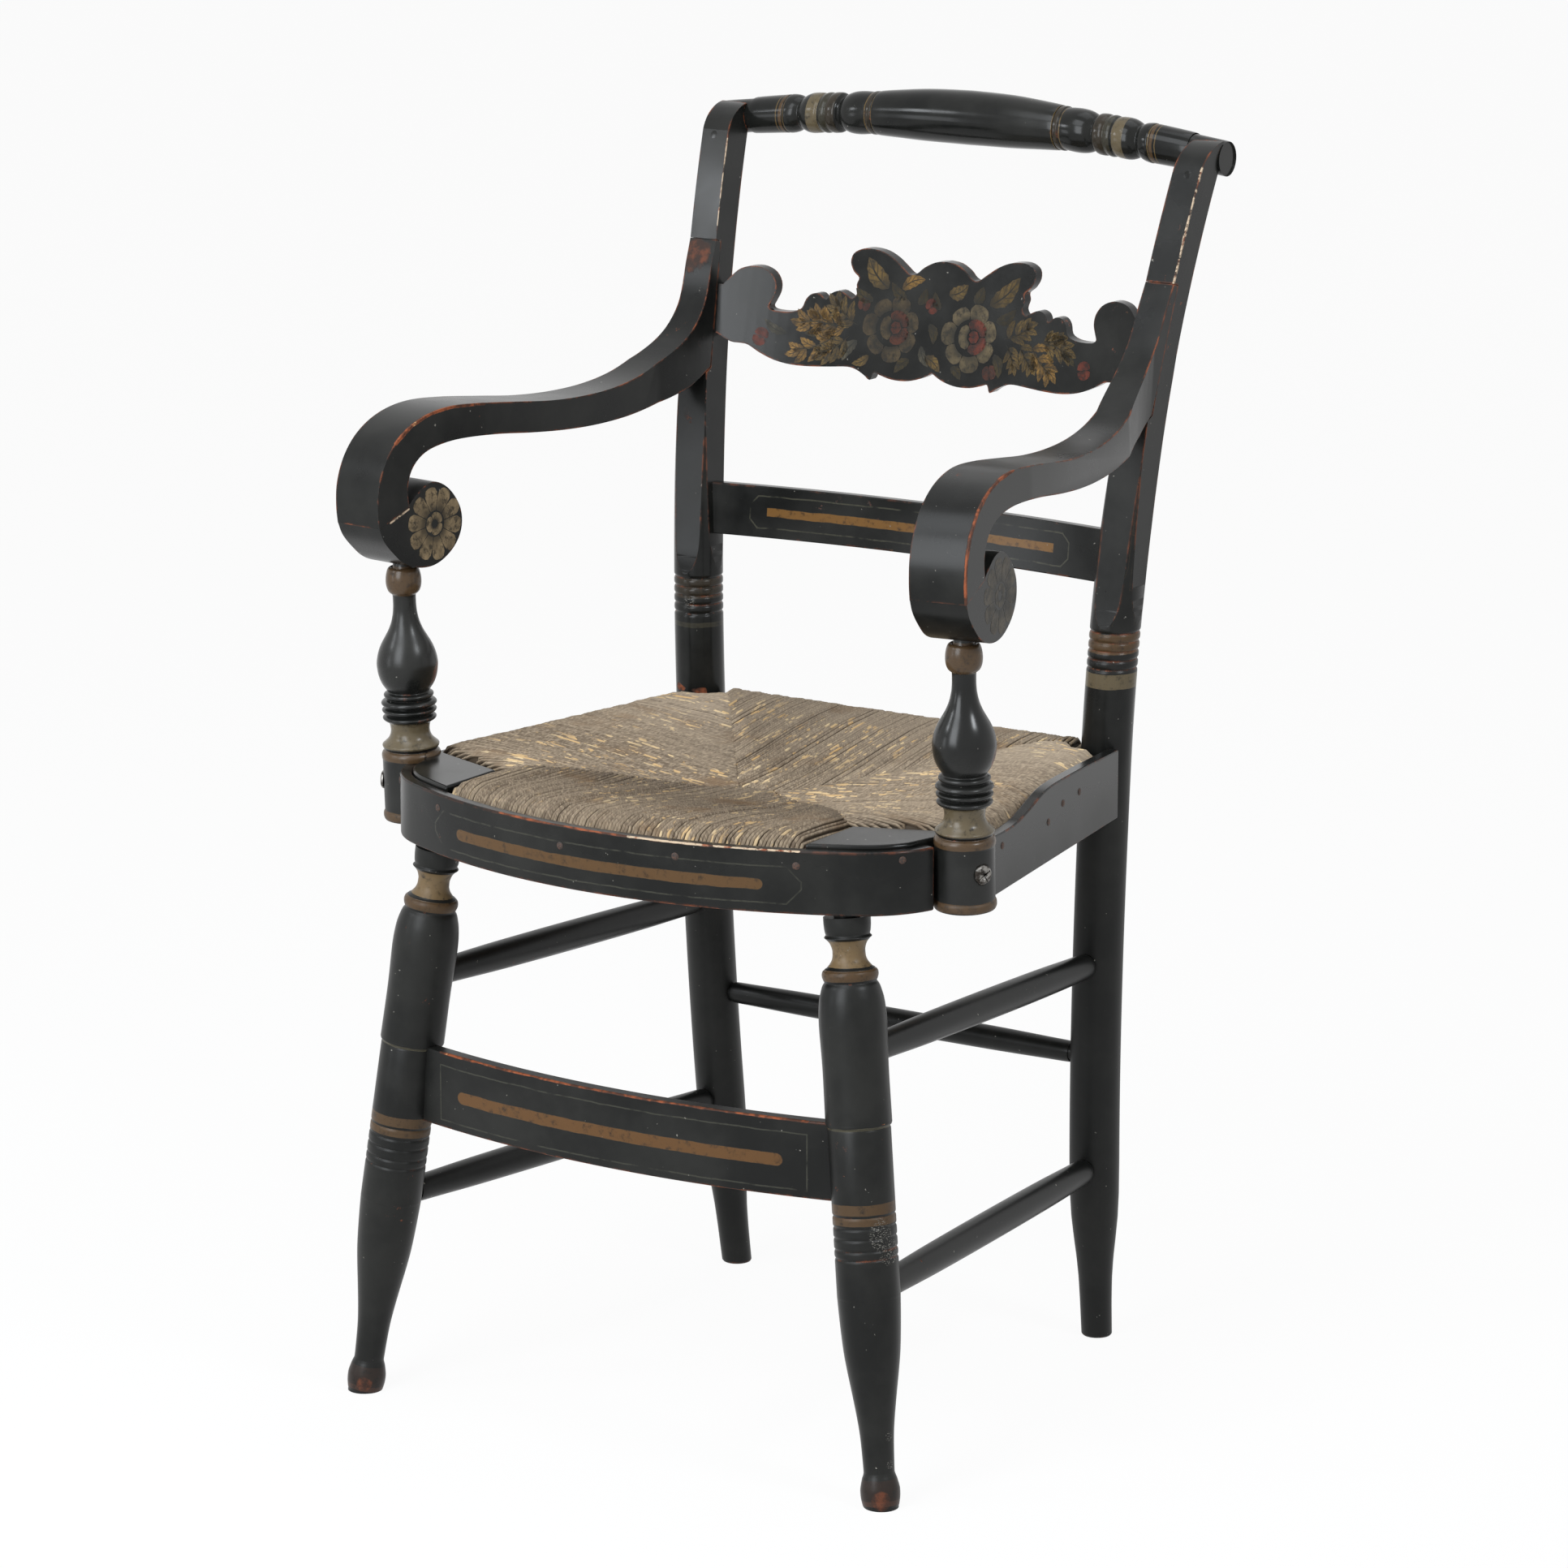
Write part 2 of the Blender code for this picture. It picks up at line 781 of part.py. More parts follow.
def post_profile():
    ring_z = SEAT_Z + POST_RING_RISE
    rings_top = ring_z + (POST_RINGS - 1) * POST_RING_PITCH + POST_RING_MARGIN
    rows = [(POST_R, z) for z in steps_between(post_top_z, rings_top, POST_ROWS_ABOVE)]
    for k in reversed(range(POST_RINGS)):
        z = ring_z + k * POST_RING_PITCH
        rows += [(POST_R, z + POST_RING_HALF), (POST_R - POST_RING_DEPTH, z), (POST_R, z - POST_RING_HALF)]
    taper_z = POST_TAPER[0][0]
    rows += [(POST_R, z) for z in steps_between(ring_z - POST_RING_MARGIN, taper_z, POST_ROWS_BELOW)[:-1]]
    rows += [(POST_R * share, z) for z, share in POST_TAPER]
    rows.append((POST_FOOT_R, 0.0))
    return rows


def bend_post(x, y, z):
    return post_axis(z) + Vector((x, y, 0.0))


right_post = put("right_back_post", mapped(turned(post_profile(), POST_STEPS), bend_post), black_paint)


def shaved_row(z, half, front, back):
    x, y, _ = post_axis(z)
    front_edge = [(x - half, y - front, z), (x + half, y - front, z)]
    back_edge = [(x + half, y + back, z), (x - half, y + back, z)]
    return front_edge + back_edge


round_to = steps_between(-UNSHAVED_HALF, SEAT_Z + SHAVED[0][0], SHAVED_ROWS_BELOW)
flat_rows = [(z, UNSHAVED_HALF, UNSHAVED_HALF, UNSHAVED_HALF) for z in round_to[:-1]]
flat_rows += [(SEAT_Z + rise, *sizes) for rise, *sizes in SHAVED]
flats_to = steps_between(flat_rows[-1][0], post_top_z + CUT_REACH, SHAVED_ROWS_ABOVE)
flat_rows += [(z, *SHAVED[-1][1:]) for z in flats_to[1:]]
cut(right_post, cutter("post_flats", loft([shaved_row(*row) for row in flat_rows])), "INTERSECT")


def across_post(u, v, w):
    """An outline in y and z, made a cutter that runs through the post from side to side."""
    return Vector((post_axis(crest_end_z).x + CUT_REACH * w, u, v))


# The tip laps the crest rail's front in a curve, and the rail's end lies in a notch behind it
tip = [(crest_y + y, crest_end_z + z) for y, z in smooth(TIP_CURVE)]
waste_front = tip[0][0] - CUT_REACH
waste_back = crest_y + CUT_REACH
waste_top = post_top_z + CUT_REACH
tip_waste = [
    *tip,
    (tip[-1][0], crest_end_z),
    (waste_back, crest_end_z),
    (waste_back, waste_top),
    (waste_front, waste_top),
    (waste_front, tip[0][1]),
]
cut(right_post, cutter("tip_waste", mapped(prism(tip_waste), across_post)))
crest_stretch = crest_half / CREST_DRAWN_HALF
notch_x = (crest_half + CREST_NOTCH_X * crest_stretch) / 2
notch_slope = -2 * CREST_FALL * notch_x / crest_half ** 2
notch_mid = Vector((notch_x, crest_y, crest_height(notch_x)))
notch_run = Vector((1.0, 0.0, notch_slope)).normalized() * CUT_REACH / 2
notch = rod(notch_mid - notch_run, notch_mid + notch_run, CREST_END_R + NOTCH_FIT, NOTCH_STEPS)
cut(right_post, cutter("crest_notch", notch))

# Rebate for the arm's back end, its foot sloped as the arm's underside is
rebate_low_z = scroll_z + ARM_REBATE_LOW
rebate_top_z = rebate_low_z + ARM_REBATE_TALL
face_low = post_front(rebate_low_z)
face_top = post_front(rebate_top_z)
arm_front = support_axis(scroll_z) + Vector((0.0, ARM_SET_BACK, 0.0))
rebate_mid = post_axis((rebate_low_z + rebate_top_z) / 2)
arm_back = rebate_mid + Vector((ARM_BACK_OUT, -ARM_BACK_AHEAD, 0.0))
arm_run = arm_back.y - arm_front.y
arm_lean = (arm_front.x - arm_back.x) / arm_run
arm_stretch = (arm_run + ARM_WIDE_TO) / (ARM_DRAWN_RUN + ARM_WIDE_TO)


def arm_point(s, rise):
    """An arm outline's point, with its back half stretched to reach the post."""
    behind = min(s - ARM_WIDE_TO, 0.0)
    return (max(s, ARM_WIDE_TO) + behind * arm_stretch, scroll_z + rise)


upper_line = [arm_point(*point) for point in smooth(ARM_UPPER)]
lower_line = [arm_point(*point) for point in smooth(ARM_LOWER)]
heel_s, heel_z = lower_line[-1]
arm_slope = (rebate_low_z - heel_z) / (face_low - arm_front.y + heel_s)
lean_top = (post_axis(rebate_top_z).y - post_axis(rebate_top_z - ARM_REBATE).y) / ARM_REBATE
rebate_low = (face_low + ARM_REBATE, rebate_low_z + ARM_REBATE * arm_slope)
rebate_top = (face_top + ARM_REBATE, rebate_top_z - ARM_REBATE * lean_top)
rebate = [
    (face_top - CUT_REACH, rebate_top_z + CUT_REACH * lean_top),
    rebate_top,
    rebate_low,
    (face_low - CUT_REACH, rebate_low_z - CUT_REACH * arm_slope),
]
cut(right_post, cutter("arm_rebate", mapped(prism(rebate), across_post)))


# Bent boards: slats and the flat front stretcher
def plate_row(x, low, high, thick, centre):
    y_low = centre(x, low)
    y_high = centre(x, high)
    low_edge = [(x, y_low - thick / 2, low), (x, y_low + thick / 2, low)]
    high_edge = [(x, y_high + thick / 2, high), (x, y_high - thick / 2, high)]
    return low_edge + high_edge


def bent_plate(end, count, low, high, thick, centre):
    return loft([plate_row(x, low, high, thick, centre) for x in steps_between(-end, end, count)])


def leaning(low, high, setback, bow, end):
    """The middle of a board that leans with the posts between two heights and bows back."""
    y_low = post_axis(low).y + setback
    slope = (post_axis(high).y - post_axis(low).y) / (high - low)
    return lambda x, z: y_low + slope * (z - low) + bow * (1 - (x / end) ** 2)


def slot(start, end, low, high, thick, centre):
    """A mortise for a board's end, a clearance larger all round."""
    grown = thick + 2 * FIT
    return loft([plate_row(x, low - FIT, high + FIT, grown, centre) for x in steps_between(start, end, 2)])


slat_low = crest_z - SLAT_DROP
slat_high = slat_low + SLAT_TENON_TALL
slat_end = post_axis((slat_low + slat_high) / 2).x - POST_FACE_HALF - SLAT_SHY
slat_reach = slat_end + SLAT_TENON
slat_centre = leaning(slat_low, slat_high, SLAT_SETBACK, SLAT_BOW, slat_end)
slat_stretch = slat_end / SLAT_DRAWN_END
upper_edge = [(x * slat_stretch, slat_low + z) for x, z in SLAT_OUTLINE]
under_edge = [(x * slat_stretch, slat_low + z) for x, z in SLAT_UNDERSIDE]
right_edge = [(slat_reach, slat_low), (slat_reach, slat_high), *upper_edge]
left_edge = [(-x, z) for x, z in reversed(right_edge[:-1])]
under_left = [(-x, z) for x, z in reversed(under_edge[1:])]
slat_line = [*right_edge, *left_edge, *under_left, *under_edge]
blank_low = min(z for _, z in slat_line) - SLAT_MARGIN
blank_high = max(z for _, z in slat_line) + SLAT_MARGIN
blank_end = slat_reach + SLAT_MARGIN / 2
slat_blank = bent_plate(blank_end, SLAT_STATIONS, blank_low, blank_high, SLAT_THICK, slat_centre)
shaped_slat = put("shaped_slat", slat_blank, stencil_black)
slat_y = post_axis(slat_low).y


def through_slat(u, v, w):
    return Vector((u, slat_y + CUT_REACH * w, v))


cut(shaped_slat, cutter("slat_outline", mapped(prism(slat_line), through_slat)), "INTERSECT")
slat_slot = slot(
    slat_end - CUT_REACH / 3, slat_reach + SOCKET_END_GAP, slat_low, slat_high, SLAT_THICK, slat_centre)
cut(right_post, cutter("slat_mortise", slat_slot))

lower_low = SEAT_Z + LOWER_SLAT_RISE
lower_high = lower_low + LOWER_SLAT_TALL
lower_end = post_axis((lower_low + lower_high) / 2).x - LOWER_SLAT_SHORT
lower_centre = leaning(lower_low, lower_high, LOWER_SLAT_SETBACK, LOWER_SLAT_BOW, slat_end)
lower_mesh = bent_plate(
    lower_end, LOWER_SLAT_STATIONS, lower_low, lower_high, LOWER_SLAT_THICK, lower_centre)
lower_slat = put("lower_slat", lower_mesh, black_paint)
rounded(lower_slat, LOWER_SLAT_BEVEL)
lower_slot = slot(
    lower_end - CUT_REACH / 2, lower_end + SOCKET_END_GAP, lower_low, lower_high,
    LOWER_SLAT_THICK, lower_centre)
cut(right_post, cutter("lower_slat_mortise", lower_slot))

# Front leg: turned, set at its splay and sawn level with the floor
block_z = SEAT_Z - BLOCK_BELOW_RAIL
leg_shoulder = (block_z - LEG_SHOULDER_GAP) / leg_run.z
leg_profile = [(LEG_TENON_R, leg_shoulder + LEG_TENON), (LEG_TENON_R, leg_shoulder + FIT)]
leg_profile += [(r, leg_shoulder - drop) for r, drop in LEG_TOP]
leg_profile += LEG_FOOT
leg_mesh = along(leg_foot, leg_top, turned(leg_profile, LEG_STEPS))
right_leg = put("right_front_leg", leg_mesh, black_paint)
saw_half = CUT_REACH * 8
floor_line = [(-saw_half, -saw_half), (saw_half, -saw_half), (saw_half, saw_half), (-saw_half, saw_half)]
cut(right_leg, cutter("floor", prism(floor_line, -CUT_REACH, 0.0)))


# Round stretchers: rods that swell to the middle, with turned tenons
def rod_profile(length, radius):
    neck = radius * STRETCHER_NECK
    return (
        (STRETCHER_TENON_R, length),
        (STRETCHER_TENON_R, length - STRETCHER_TENON),
        (neck, length - STRETCHER_TENON),
        (radius, length * (1 - STRETCHER_SWELL)),
        (radius, length * STRETCHER_SWELL),
        (neck, STRETCHER_TENON),
        (STRETCHER_TENON_R, STRETCHER_TENON),
        (STRETCHER_TENON_R, 0.0),
    )


def stretcher(name, start, end, radius):
    profile = rod_profile((end - start).length, radius)
    return put(name, along(start, end, turned(profile)), black_paint)


def side_stretcher(name, front_z, back_z):
    start, end = between(leg_axis(front_z), post_axis(back_z), LEG_SEAT_DEPTH, POST_SEAT_DEPTH)
    made = stretcher("right_" + name, start, end, SIDE_STRETCHER_R)
    cut(right_leg, socket(name + "_front", start, end, STRETCHER_TENON_R))
    cut(right_post, socket(name + "_back", end, start, STRETCHER_TENON_R))
    mirrored(made, "left_" + name)


def across(point):
    return Vector((-point.x, point.y, point.z))


side_stretcher("upper_side_stretcher", UPPER_FRONT_Z, UPPER_BACK_Z)
side_stretcher("lower_side_stretcher", LOWER_FRONT_Z, LOWER_BACK_Z)
back_point = post_axis(BACK_STRETCHER_Z)
rod_left, rod_right = between(across(back_point), back_point, POST_SEAT_DEPTH, POST_SEAT_DEPTH)
stretcher("back_stretcher", rod_left, rod_right, BACK_STRETCHER_R)
cut(right_post, socket("back_stretcher_end", rod_right, rod_left, STRETCHER_TENON_R))

# Flat front stretcher, bowed forward and mortised into the legs
board_high = BOARD_Z + BOARD_TALL
board_leg = leg_axis((BOARD_Z + board_high) / 2)
board_shoulder = board_leg.x - BOARD_SHOULDER
board_end = board_shoulder + BOARD_TENON


def board_centre(x, _):
    return board_leg.y - BOARD_AHEAD - BOARD_BOW * (1 - (x / board_shoulder) ** 2)


board = bent_plate(board_end, BOARD_STATIONS, BOARD_Z, board_high, BOARD_THICK, board_centre)
front_stretcher = put("front_stretcher", board, black_paint)
rounded(front_stretcher, BOARD_BEVEL)
board_slot = slot(
    board_end - CUT_REACH / 2, board_end + SOCKET_END_GAP, BOARD_Z, board_high, BOARD_THICK, board_centre)
cut(right_leg, cutter("front_stretcher_mortise", board_slot))

# Crest rail: turned along Z, laid along X and arched
crest_rows = [(r, x * crest_stretch) for x, r in reversed(CREST_PROFILE)]
crest_rows += [(r, -x * crest_stretch) for x, r in CREST_PROFILE[1:]]


def lay_crest(x, y, z):
    return Vector((z, crest_y + x, crest_height(z) + y))


put("crest_rail", mapped(turned(crest_rows, FINE_STEPS), lay_crest), black_paint)

# Wood plug in each post tip, pinning the crest rail's end
plug_in = Vector((0.0, 1.0, PLUG_SLOPE)).normalized()
plug_z = crest_end_z + PLUG_FACE_Z
plug_face = Vector((post_axis(plug_z).x + PLUG_OUT, crest_y + PLUG_FACE_Y, plug_z))
plug_start = plug_face - plug_in * PLUG_STAND
plug_end = plug_start + plug_in * PLUG_LENGTH
right_plug = put("right_crest_plug", rod(plug_start, plug_end, PLUG_R), black_paint)
plug_hole = rod(plug_start - plug_in * CUT_REACH, plug_end + plug_in * FIT, PLUG_R + FIT)
cut(right_post, cutter("plug_hole", plug_hole))
mirrored(right_plug, "left_crest_plug")


# Arms: a sawn outline, wide at the scroll and narrow where it is let into the post
def arm_place(s, z, side):
    """s runs forward from the arm post; side is -1 on the inner face and 1 on the outer."""
    y = arm_front.y - s
    back = min(max((ARM_WIDE_TO - s) / (ARM_WIDE_TO + arm_run), 0.0), 1.0)
    half = ARM_FRONT_HALF + (ARM_BACK_HALF - ARM_FRONT_HALF) * back
    centre = arm_front.x - arm_lean * (y - arm_front.y)
    return Vector((centre + side * half, y + side * half * arm_lean * (1 - back), z))


arm_end = [
    (arm_front.y - face_low + ARM_HEEL, rebate_low_z - ARM_HEEL * arm_slope + FIT),
    (arm_front.y - rebate_low[0] + FIT, rebate_low[1] + FIT),
    (arm_front.y - rebate_top[0] + FIT, rebate_top[1] - FIT),
    (arm_front.y - face_top, rebate_top_z - FIT),
]
right_arm = put("right_arm", mapped(prism([*upper_line, *lower_line, *arm_end]), arm_place), black_paint)
rounded(right_arm, ARM_BEVEL)
mirrored(right_arm, "left_arm")
scroll_line = [arm_point(*point) for point in smooth(SCROLL_ROUND)]
right_scroll = put("right_scroll_block", mapped(prism(scroll_line), arm_place), black_paint)
rounded(right_scroll, ARM_BEVEL)

# Arm post: tenoned into the scroll, flat on the inner side of its base and screwed to the corner block
support_tall = scroll_z - SUPPORT_TOP_GAP - support_z
support_stretch = support_tall / SUPPORT_DRAWN_TALL
support_profile = [(SUPPORT_TENON_R, support_tall + SUPPORT_TENON), (SUPPORT_TENON_R, support_tall + FIT)]
support_profile += [(r, z * support_stretch) for r, z in SUPPORT_PROFILE]
support_mesh = along(support_axis(support_z), support_axis(scroll_z), turned(support_profile, FINE_STEPS))
right_support = put("right_arm_support", support_mesh, black_paint)
screw_angle = math.radians(SCREW_TURN)
screw_out = Vector((math.cos(screw_angle), math.sin(screw_angle), 0.0))
screw_side = Vector((-screw_out.y, screw_out.x, 0.0))
screw_foot = support_axis(SEAT_Z + SCREW_RISE)
flat_face = screw_foot - screw_out * SUPPORT_FLAT
flat_mid = support_axis(support_z + SUPPORT_FLAT_TALL / 2 - SOCKET_END_GAP)


def behind_flat(u, v, w):
    inward = screw_out * (CUT_REACH * (1 + u) / 2)
    level = Vector((0.0, 0.0, flat_mid.z - flat_face.z + SUPPORT_FLAT_TALL / 2 * w))
    return flat_face - inward + screw_side * (CUT_REACH / 2 * v) + level


square = [(-1.0, -1.0), (1.0, -1.0), (1.0, 1.0), (-1.0, 1.0)]
cut(right_support, cutter("support_flat", mapped(prism(square), behind_flat)))
tenon_top = support_axis(support_z) + (support_axis(scroll_z) - support_axis(support_z)).normalized() * (
    support_tall + SUPPORT_TENON)
cut(right_scroll, socket("support_tenon", tenon_top, support_axis(support_z), SUPPORT_TENON_R))
mirrored(right_scroll, "left_scroll_block")

head_seat = screw_foot + screw_out * SCREW_SEAT
screw_length = SCREW_SEAT + SUPPORT_FLAT + SCREW_BITE
screw_profile = (
    (SCREW_CROWN_R, SCREW_HEAD_H),
    (SCREW_HEAD_R * 0.92, SCREW_HEAD_H * 0.72),
    (SCREW_HEAD_R, SCREW_HEAD_H * 0.2),
    (SCREW_HEAD_R, 0.0),
    (SCREW_SHANK_R, 0.0),
    (SCREW_SHANK_R, -screw_length),
)
screw_mesh = along(head_seat, head_seat + screw_out, turned(screw_profile))
right_screw = put("right_support_screw", screw_mesh, steel)
bore_end = head_seat - screw_out * (screw_length + SOCKET_END_GAP)
screw_bore = cutter("screw_bore", rod(bore_end, head_seat + screw_out * SCREW_SEAT, SCREW_SHANK_R + FIT))
spot_floor = head_seat - screw_out * FIT
spot = rod(spot_floor, head_seat + screw_out * SCREW_SEAT, SCREW_HEAD_R + SPOTFACE_MARGIN, FINE_STEPS)
cut(right_support, screw_bore)
cut(right_support, cutter("screw_spotface", spot))
mirrored(right_support, "left_arm_support")
mirrored(right_screw, "left_support_screw")

# Front trim: a thin board bent round the bow and both corners
trim_z = SEAT_Z - TRIM_BELOW_RAIL
trim_angles = steps_between(0.0, corner_from, BOW_STEPS)
trim_angles += steps_between(corner_from, corner_to, CORNER_STEPS)[1:]
outer = [front_path(a) for a in trim_angles]
inner = [front_path(a, TRIM_THICK) for a in trim_angles]
outer_left = [(-x, y) for x, y in reversed(outer)]
inner_left = [(-x, y) for x, y in inner[1:]]
trim_plan = [*outer_left, *outer[1:], *reversed(inner), *inner_left]
front_trim = put("front_seat_trim", prism(trim_plan, trim_z, trim_z + TRIM_HIGH), black_paint)
rounded(front_trim, TRIM_BEVEL, TRIM_BEVEL_ANGLE)

# Side trims: the right one's top edge rises in an ogee toward the back post, the left one's is straight
side_run = side_back_y - side_front_y
ogee = [(side_front_y + side_run * t, trim_z + h) for t, h in smooth(SIDE_TOP)]
straight = [(side_front_y, trim_z + LEFT_TRIM_HIGH), (side_back_y, trim_z + LEFT_TRIM_HIGH)]
side_foot = [(side_back_y, trim_z), (side_front_y, trim_z)]


def side_trim(name, top, hand):
    def side_place(u, v, w):
        return Vector((hand * side_x(u, TRIM_THICK * (0.5 - 0.5 * w)), u, v))

    made = put(name, mapped(prism([*top, *side_foot]), side_place), black_paint)
    rounded(made, TRIM_BEVEL, TRIM_BEVEL_ANGLE)


side_trim("right_seat_trim", ogee, 1.0)
side_trim("left_seat_trim", straight, -1.0)

# Corner blocks hold the front legs, the rails and the arm posts' screws
block_inset = TRIM_THICK + FIT
block_x = leg_top.x - BLOCK_INSIDE_LEG
block_back_y = leg_top.y + BLOCK_BEHIND_LEG
block_side = Vector((support_x - BLOCK_INSIDE_SUPPORT, support_y + BLOCK_BEHIND_SUPPORT))
block_front = math.asin(block_x / (BOW_R - block_inset))
flat_at = screw_foot - screw_out * (SUPPORT_FLAT + FIT)
flat_from = flat_at - screw_side * BLOCK_FLAT_FRONT
flat_to = flat_at + screw_side * BLOCK_FLAT_BACK
block_round = steps_between(block_front, math.radians(BLOCK_ROUND_END), BOW_STEPS)
block_plan = [front_path(a, block_inset) for a in block_round]
block_plan += [(flat_from.x, flat_from.y), (flat_to.x, flat_to.y)]
block_plan += [(block_side.x, block_side.y), (block_x, block_back_y)]
right_block = put("right_corner_block", prism(block_plan, block_z, block_z + BLOCK_TALL), black_paint)
rounded(right_block, BLOCK_BEVEL, TRIM_BEVEL_ANGLE)


def bore_block(tool):
    """A hole in the corner block, whose eased edges need the solver made for closed bodies."""
    cut(right_block, tool, solver="MANIFOLD")


bore_block(screw_bore)
leg_tenon_top = leg_foot + leg_run * leg_profile[0][1]
bore_block(socket("leg_tenon", leg_tenon_top, leg_foot, LEG_TENON_R))

# Seat rails: oval rods under the rush, tenoned into the posts and blocks
rail_flat = RAIL_WIDE / RAIL_DEEP
rail_hole = RAIL_TENON_R * rail_flat
rail_neck = RAIL_DEEP * RAIL_NECK


def oval(rows):
    mesh = turned(rows)
    for vertex in mesh.vertices:
        vertex.co.x *= rail_flat
    return mesh


def rail_rows(length):
    tenon = [(RAIL_TENON_R, length), (RAIL_TENON_R, length - RAIL_TENON), (rail_neck, length - RAIL_TENON)]
    body = [(RAIL_DEEP, length * share) for share in (0.75, 0.50, 0.25)]
    return tenon + body + [(rail_neck, RAIL_TENON), (RAIL_TENON_R, RAIL_TENON), (RAIL_TENON_R, 0.0)]


def lay_level(start, end, mesh):
    """Lays a rod made along +Z between two points, its local x kept level."""
    axis = (end - start).normalized()
    level = Vector((axis.y, -axis.x, 0.0)).normalized()
    up = level.cross(axis).normalized()
    return mapped(mesh, lambda x, y, z: start + level * x + up * y + axis * z)


front_inset = TRIM_THICK + FRONT_RAIL_COVER + RAIL_WIDE
rail_shoulder = block_x - FIT
front_rail_half = rail_shoulder + FRONT_RAIL_TENON


def lay_front_rail(x, y, z):
    return Vector((z, bow_front(z, front_inset) + x, SEAT_Z + y))


def front_rail_mesh(grow, end_r):
    """The bowed front rail with a plain round end of end_r."""
    rows = [(end_r, front_rail_half), (end_r, rail_shoulder)]
    for share in steps_between(1.0, -1.0, 10):
        rows.append(((rail_neck if abs(share) > 0.9 else RAIL_DEEP) + grow, rail_shoulder * share))
    rows += [(end_r, -rail_shoulder), (end_r, -front_rail_half)]
    return mapped(oval(rows), lay_front_rail)


put("front_seat_rail", front_rail_mesh(0.0, RAIL_TENON_R), rail_wood)
tenon_y = bow_front(front_rail_half, front_inset)
tenon_end = Vector((front_rail_half, tenon_y, SEAT_Z))
tenon_run = Vector((bow_y - tenon_y, front_rail_half, 0.0)).normalized()
drill_end = tenon_end + tenon_run * FRONT_RAIL_END_GAP
front_drill = rod(drill_end, drill_end - tenon_run * CUT_REACH / 2, rail_hole + FIT * 2)
bore_block(cutter("front_rail_socket", front_drill))

side_seat = Vector((block_side.x - RAIL_WIDE - SIDE_RAIL_COVER, block_side.y - SIDE_RAIL_SEAT, SEAT_Z))
side_post = rail_post - Vector((RAIL_WIDE - SIDE_RAIL_OFF_POST, 0.0, 0.0))
side_start, side_end = between(side_seat, side_post, 0.0, RAIL_SEAT_DEPTH)
side_mesh = lay_level(side_start, side_end, oval(rail_rows((side_end - side_start).length)))
right_rail = put("right_seat_rail", side_mesh, rail_wood)
bore_block(socket("side_rail_front", side_start, side_end, rail_hole))
cut(right_post, socket("side_rail_back", side_end, side_start, rail_hole))
mirrored(right_rail, "left_seat_rail")
back_start, back_end = between(across(rail_post), rail_post, RAIL_SEAT_DEPTH, RAIL_SEAT_DEPTH)
back_mesh = lay_level(back_start, back_end, oval(rail_rows((back_end - back_start).length)))
put("back_seat_rail", back_mesh, rail_wood)
cut(right_post, socket("back_rail_end", back_end, back_start, rail_hole))

# Rush: four panels that roll over the rails, dip to the middle and meet in seams
rush_inset = TRIM_THICK + RUSH_GAP
rush_step = block_x - RUSH_GAP
rush_back_y = rail_post.y + RUSH_BACK
post_clear = POST_R + RUSH_POST_GAP
front_seam = (rush_step, block_back_y + RUSH_GAP)
back_seam = (rail_post.x - post_clear, rail_post.y + RUSH_PAST_POST)


def round_post(angle):
    turn = math.radians(angle)
    return (rail_post.x + post_clear * math.sin(turn), rail_post.y - post_clear * math.cos(turn))


def rush_half():
    """The rush's edge on the right: front bow, corner block, side trim, back post and back."""
    last = math.asin(rush_step / (BOW_R - rush_inset))
    line = [front_path(angle, rush_inset) for angle in steps_between(0.0, last, 9)]
    line += [(rush_step, (line[-1][1] + block_back_y) / 2), front_seam]
    block_mid_y = (block_back_y + block_side.y) / 2 + 2 * RUSH_GAP
    line += [((rush_step + block_side.x) / 2, block_mid_y)]
    line += [(block_side.x + RUSH_GAP, block_side.y + 2 * RUSH_GAP)]
    line += [(block_side.x + RUSH_OFF_BLOCK, block_side.y + RUSH_BEHIND_BLOCK)]
    side_ys = steps_between(side_front_y, side_back_y - RUSH_SHORT_OF_TRIM, 9)
    line += [(side_x(y, rush_inset), y) for y in side_ys]
    line += [round_post(angle) for angle in (20.0, -12.0, -42.0, -72.0)]
    line += [back_seam]
    line += [(x, rush_back_y) for x in steps_between(back_seam[0], 0.0, 6)]
    return line


half_line = rush_half()
rush_line = half_line + [(-x, y) for x, y in reversed(half_line[1:-1])]


def rush_height(x, y, deep, reach, upper):
    """The rush's height, deep in from its edge on a line of this reach to the middle."""
    roll = math.sqrt(max(1 - (1 - min(deep / RUSH_ROUND, 1.0)) ** 2, 0.0))
    sink = max(deep - RUSH_ROUND, 0.0) / (reach - RUSH_ROUND)
    sink = sink * sink * (3 - 2 * sink)
    if not upper:
        return SEAT_Z - RUSH_EDGE_UNDER - (RUSH_UNDER - RUSH_EDGE_UNDER) * roll + RUSH_UNDER_LIFT * sink
    height = SEAT_Z + RUSH_EDGE_RISE + (RUSH_RISE - RUSH_EDGE_RISE) * roll - RUSH_DIP * sink
    on_seam = (abs(x), y) in (front_seam, back_seam)
    return height - (RUSH_SEAM * (1 - sink) if on_seam else 0.0)


def rush_row(share, upper):
    row = []
    for x, y in rush_line:
        middle = max(-RUSH_RIDGE, min(RUSH_RIDGE, x * RUSH_RIDGE_SHARE))
        reach = math.hypot(x - middle, y - RUSH_CENTRE_Y)
        z = rush_height(x, y, (1 - share) * reach, reach, upper)
        row.append((middle + (x - middle) * share, RUSH_CENTRE_Y + (y - RUSH_CENTRE_Y) * share, z))
    return row


rush_rows = [rush_row(share, False) for share in reversed(RUSH_LOWER)]
rush_rows += [rush_row(share, True) for share in reversed(RUSH_UPPER)]
rush_seat = put("rush_seat", loft(rush_rows), rush)


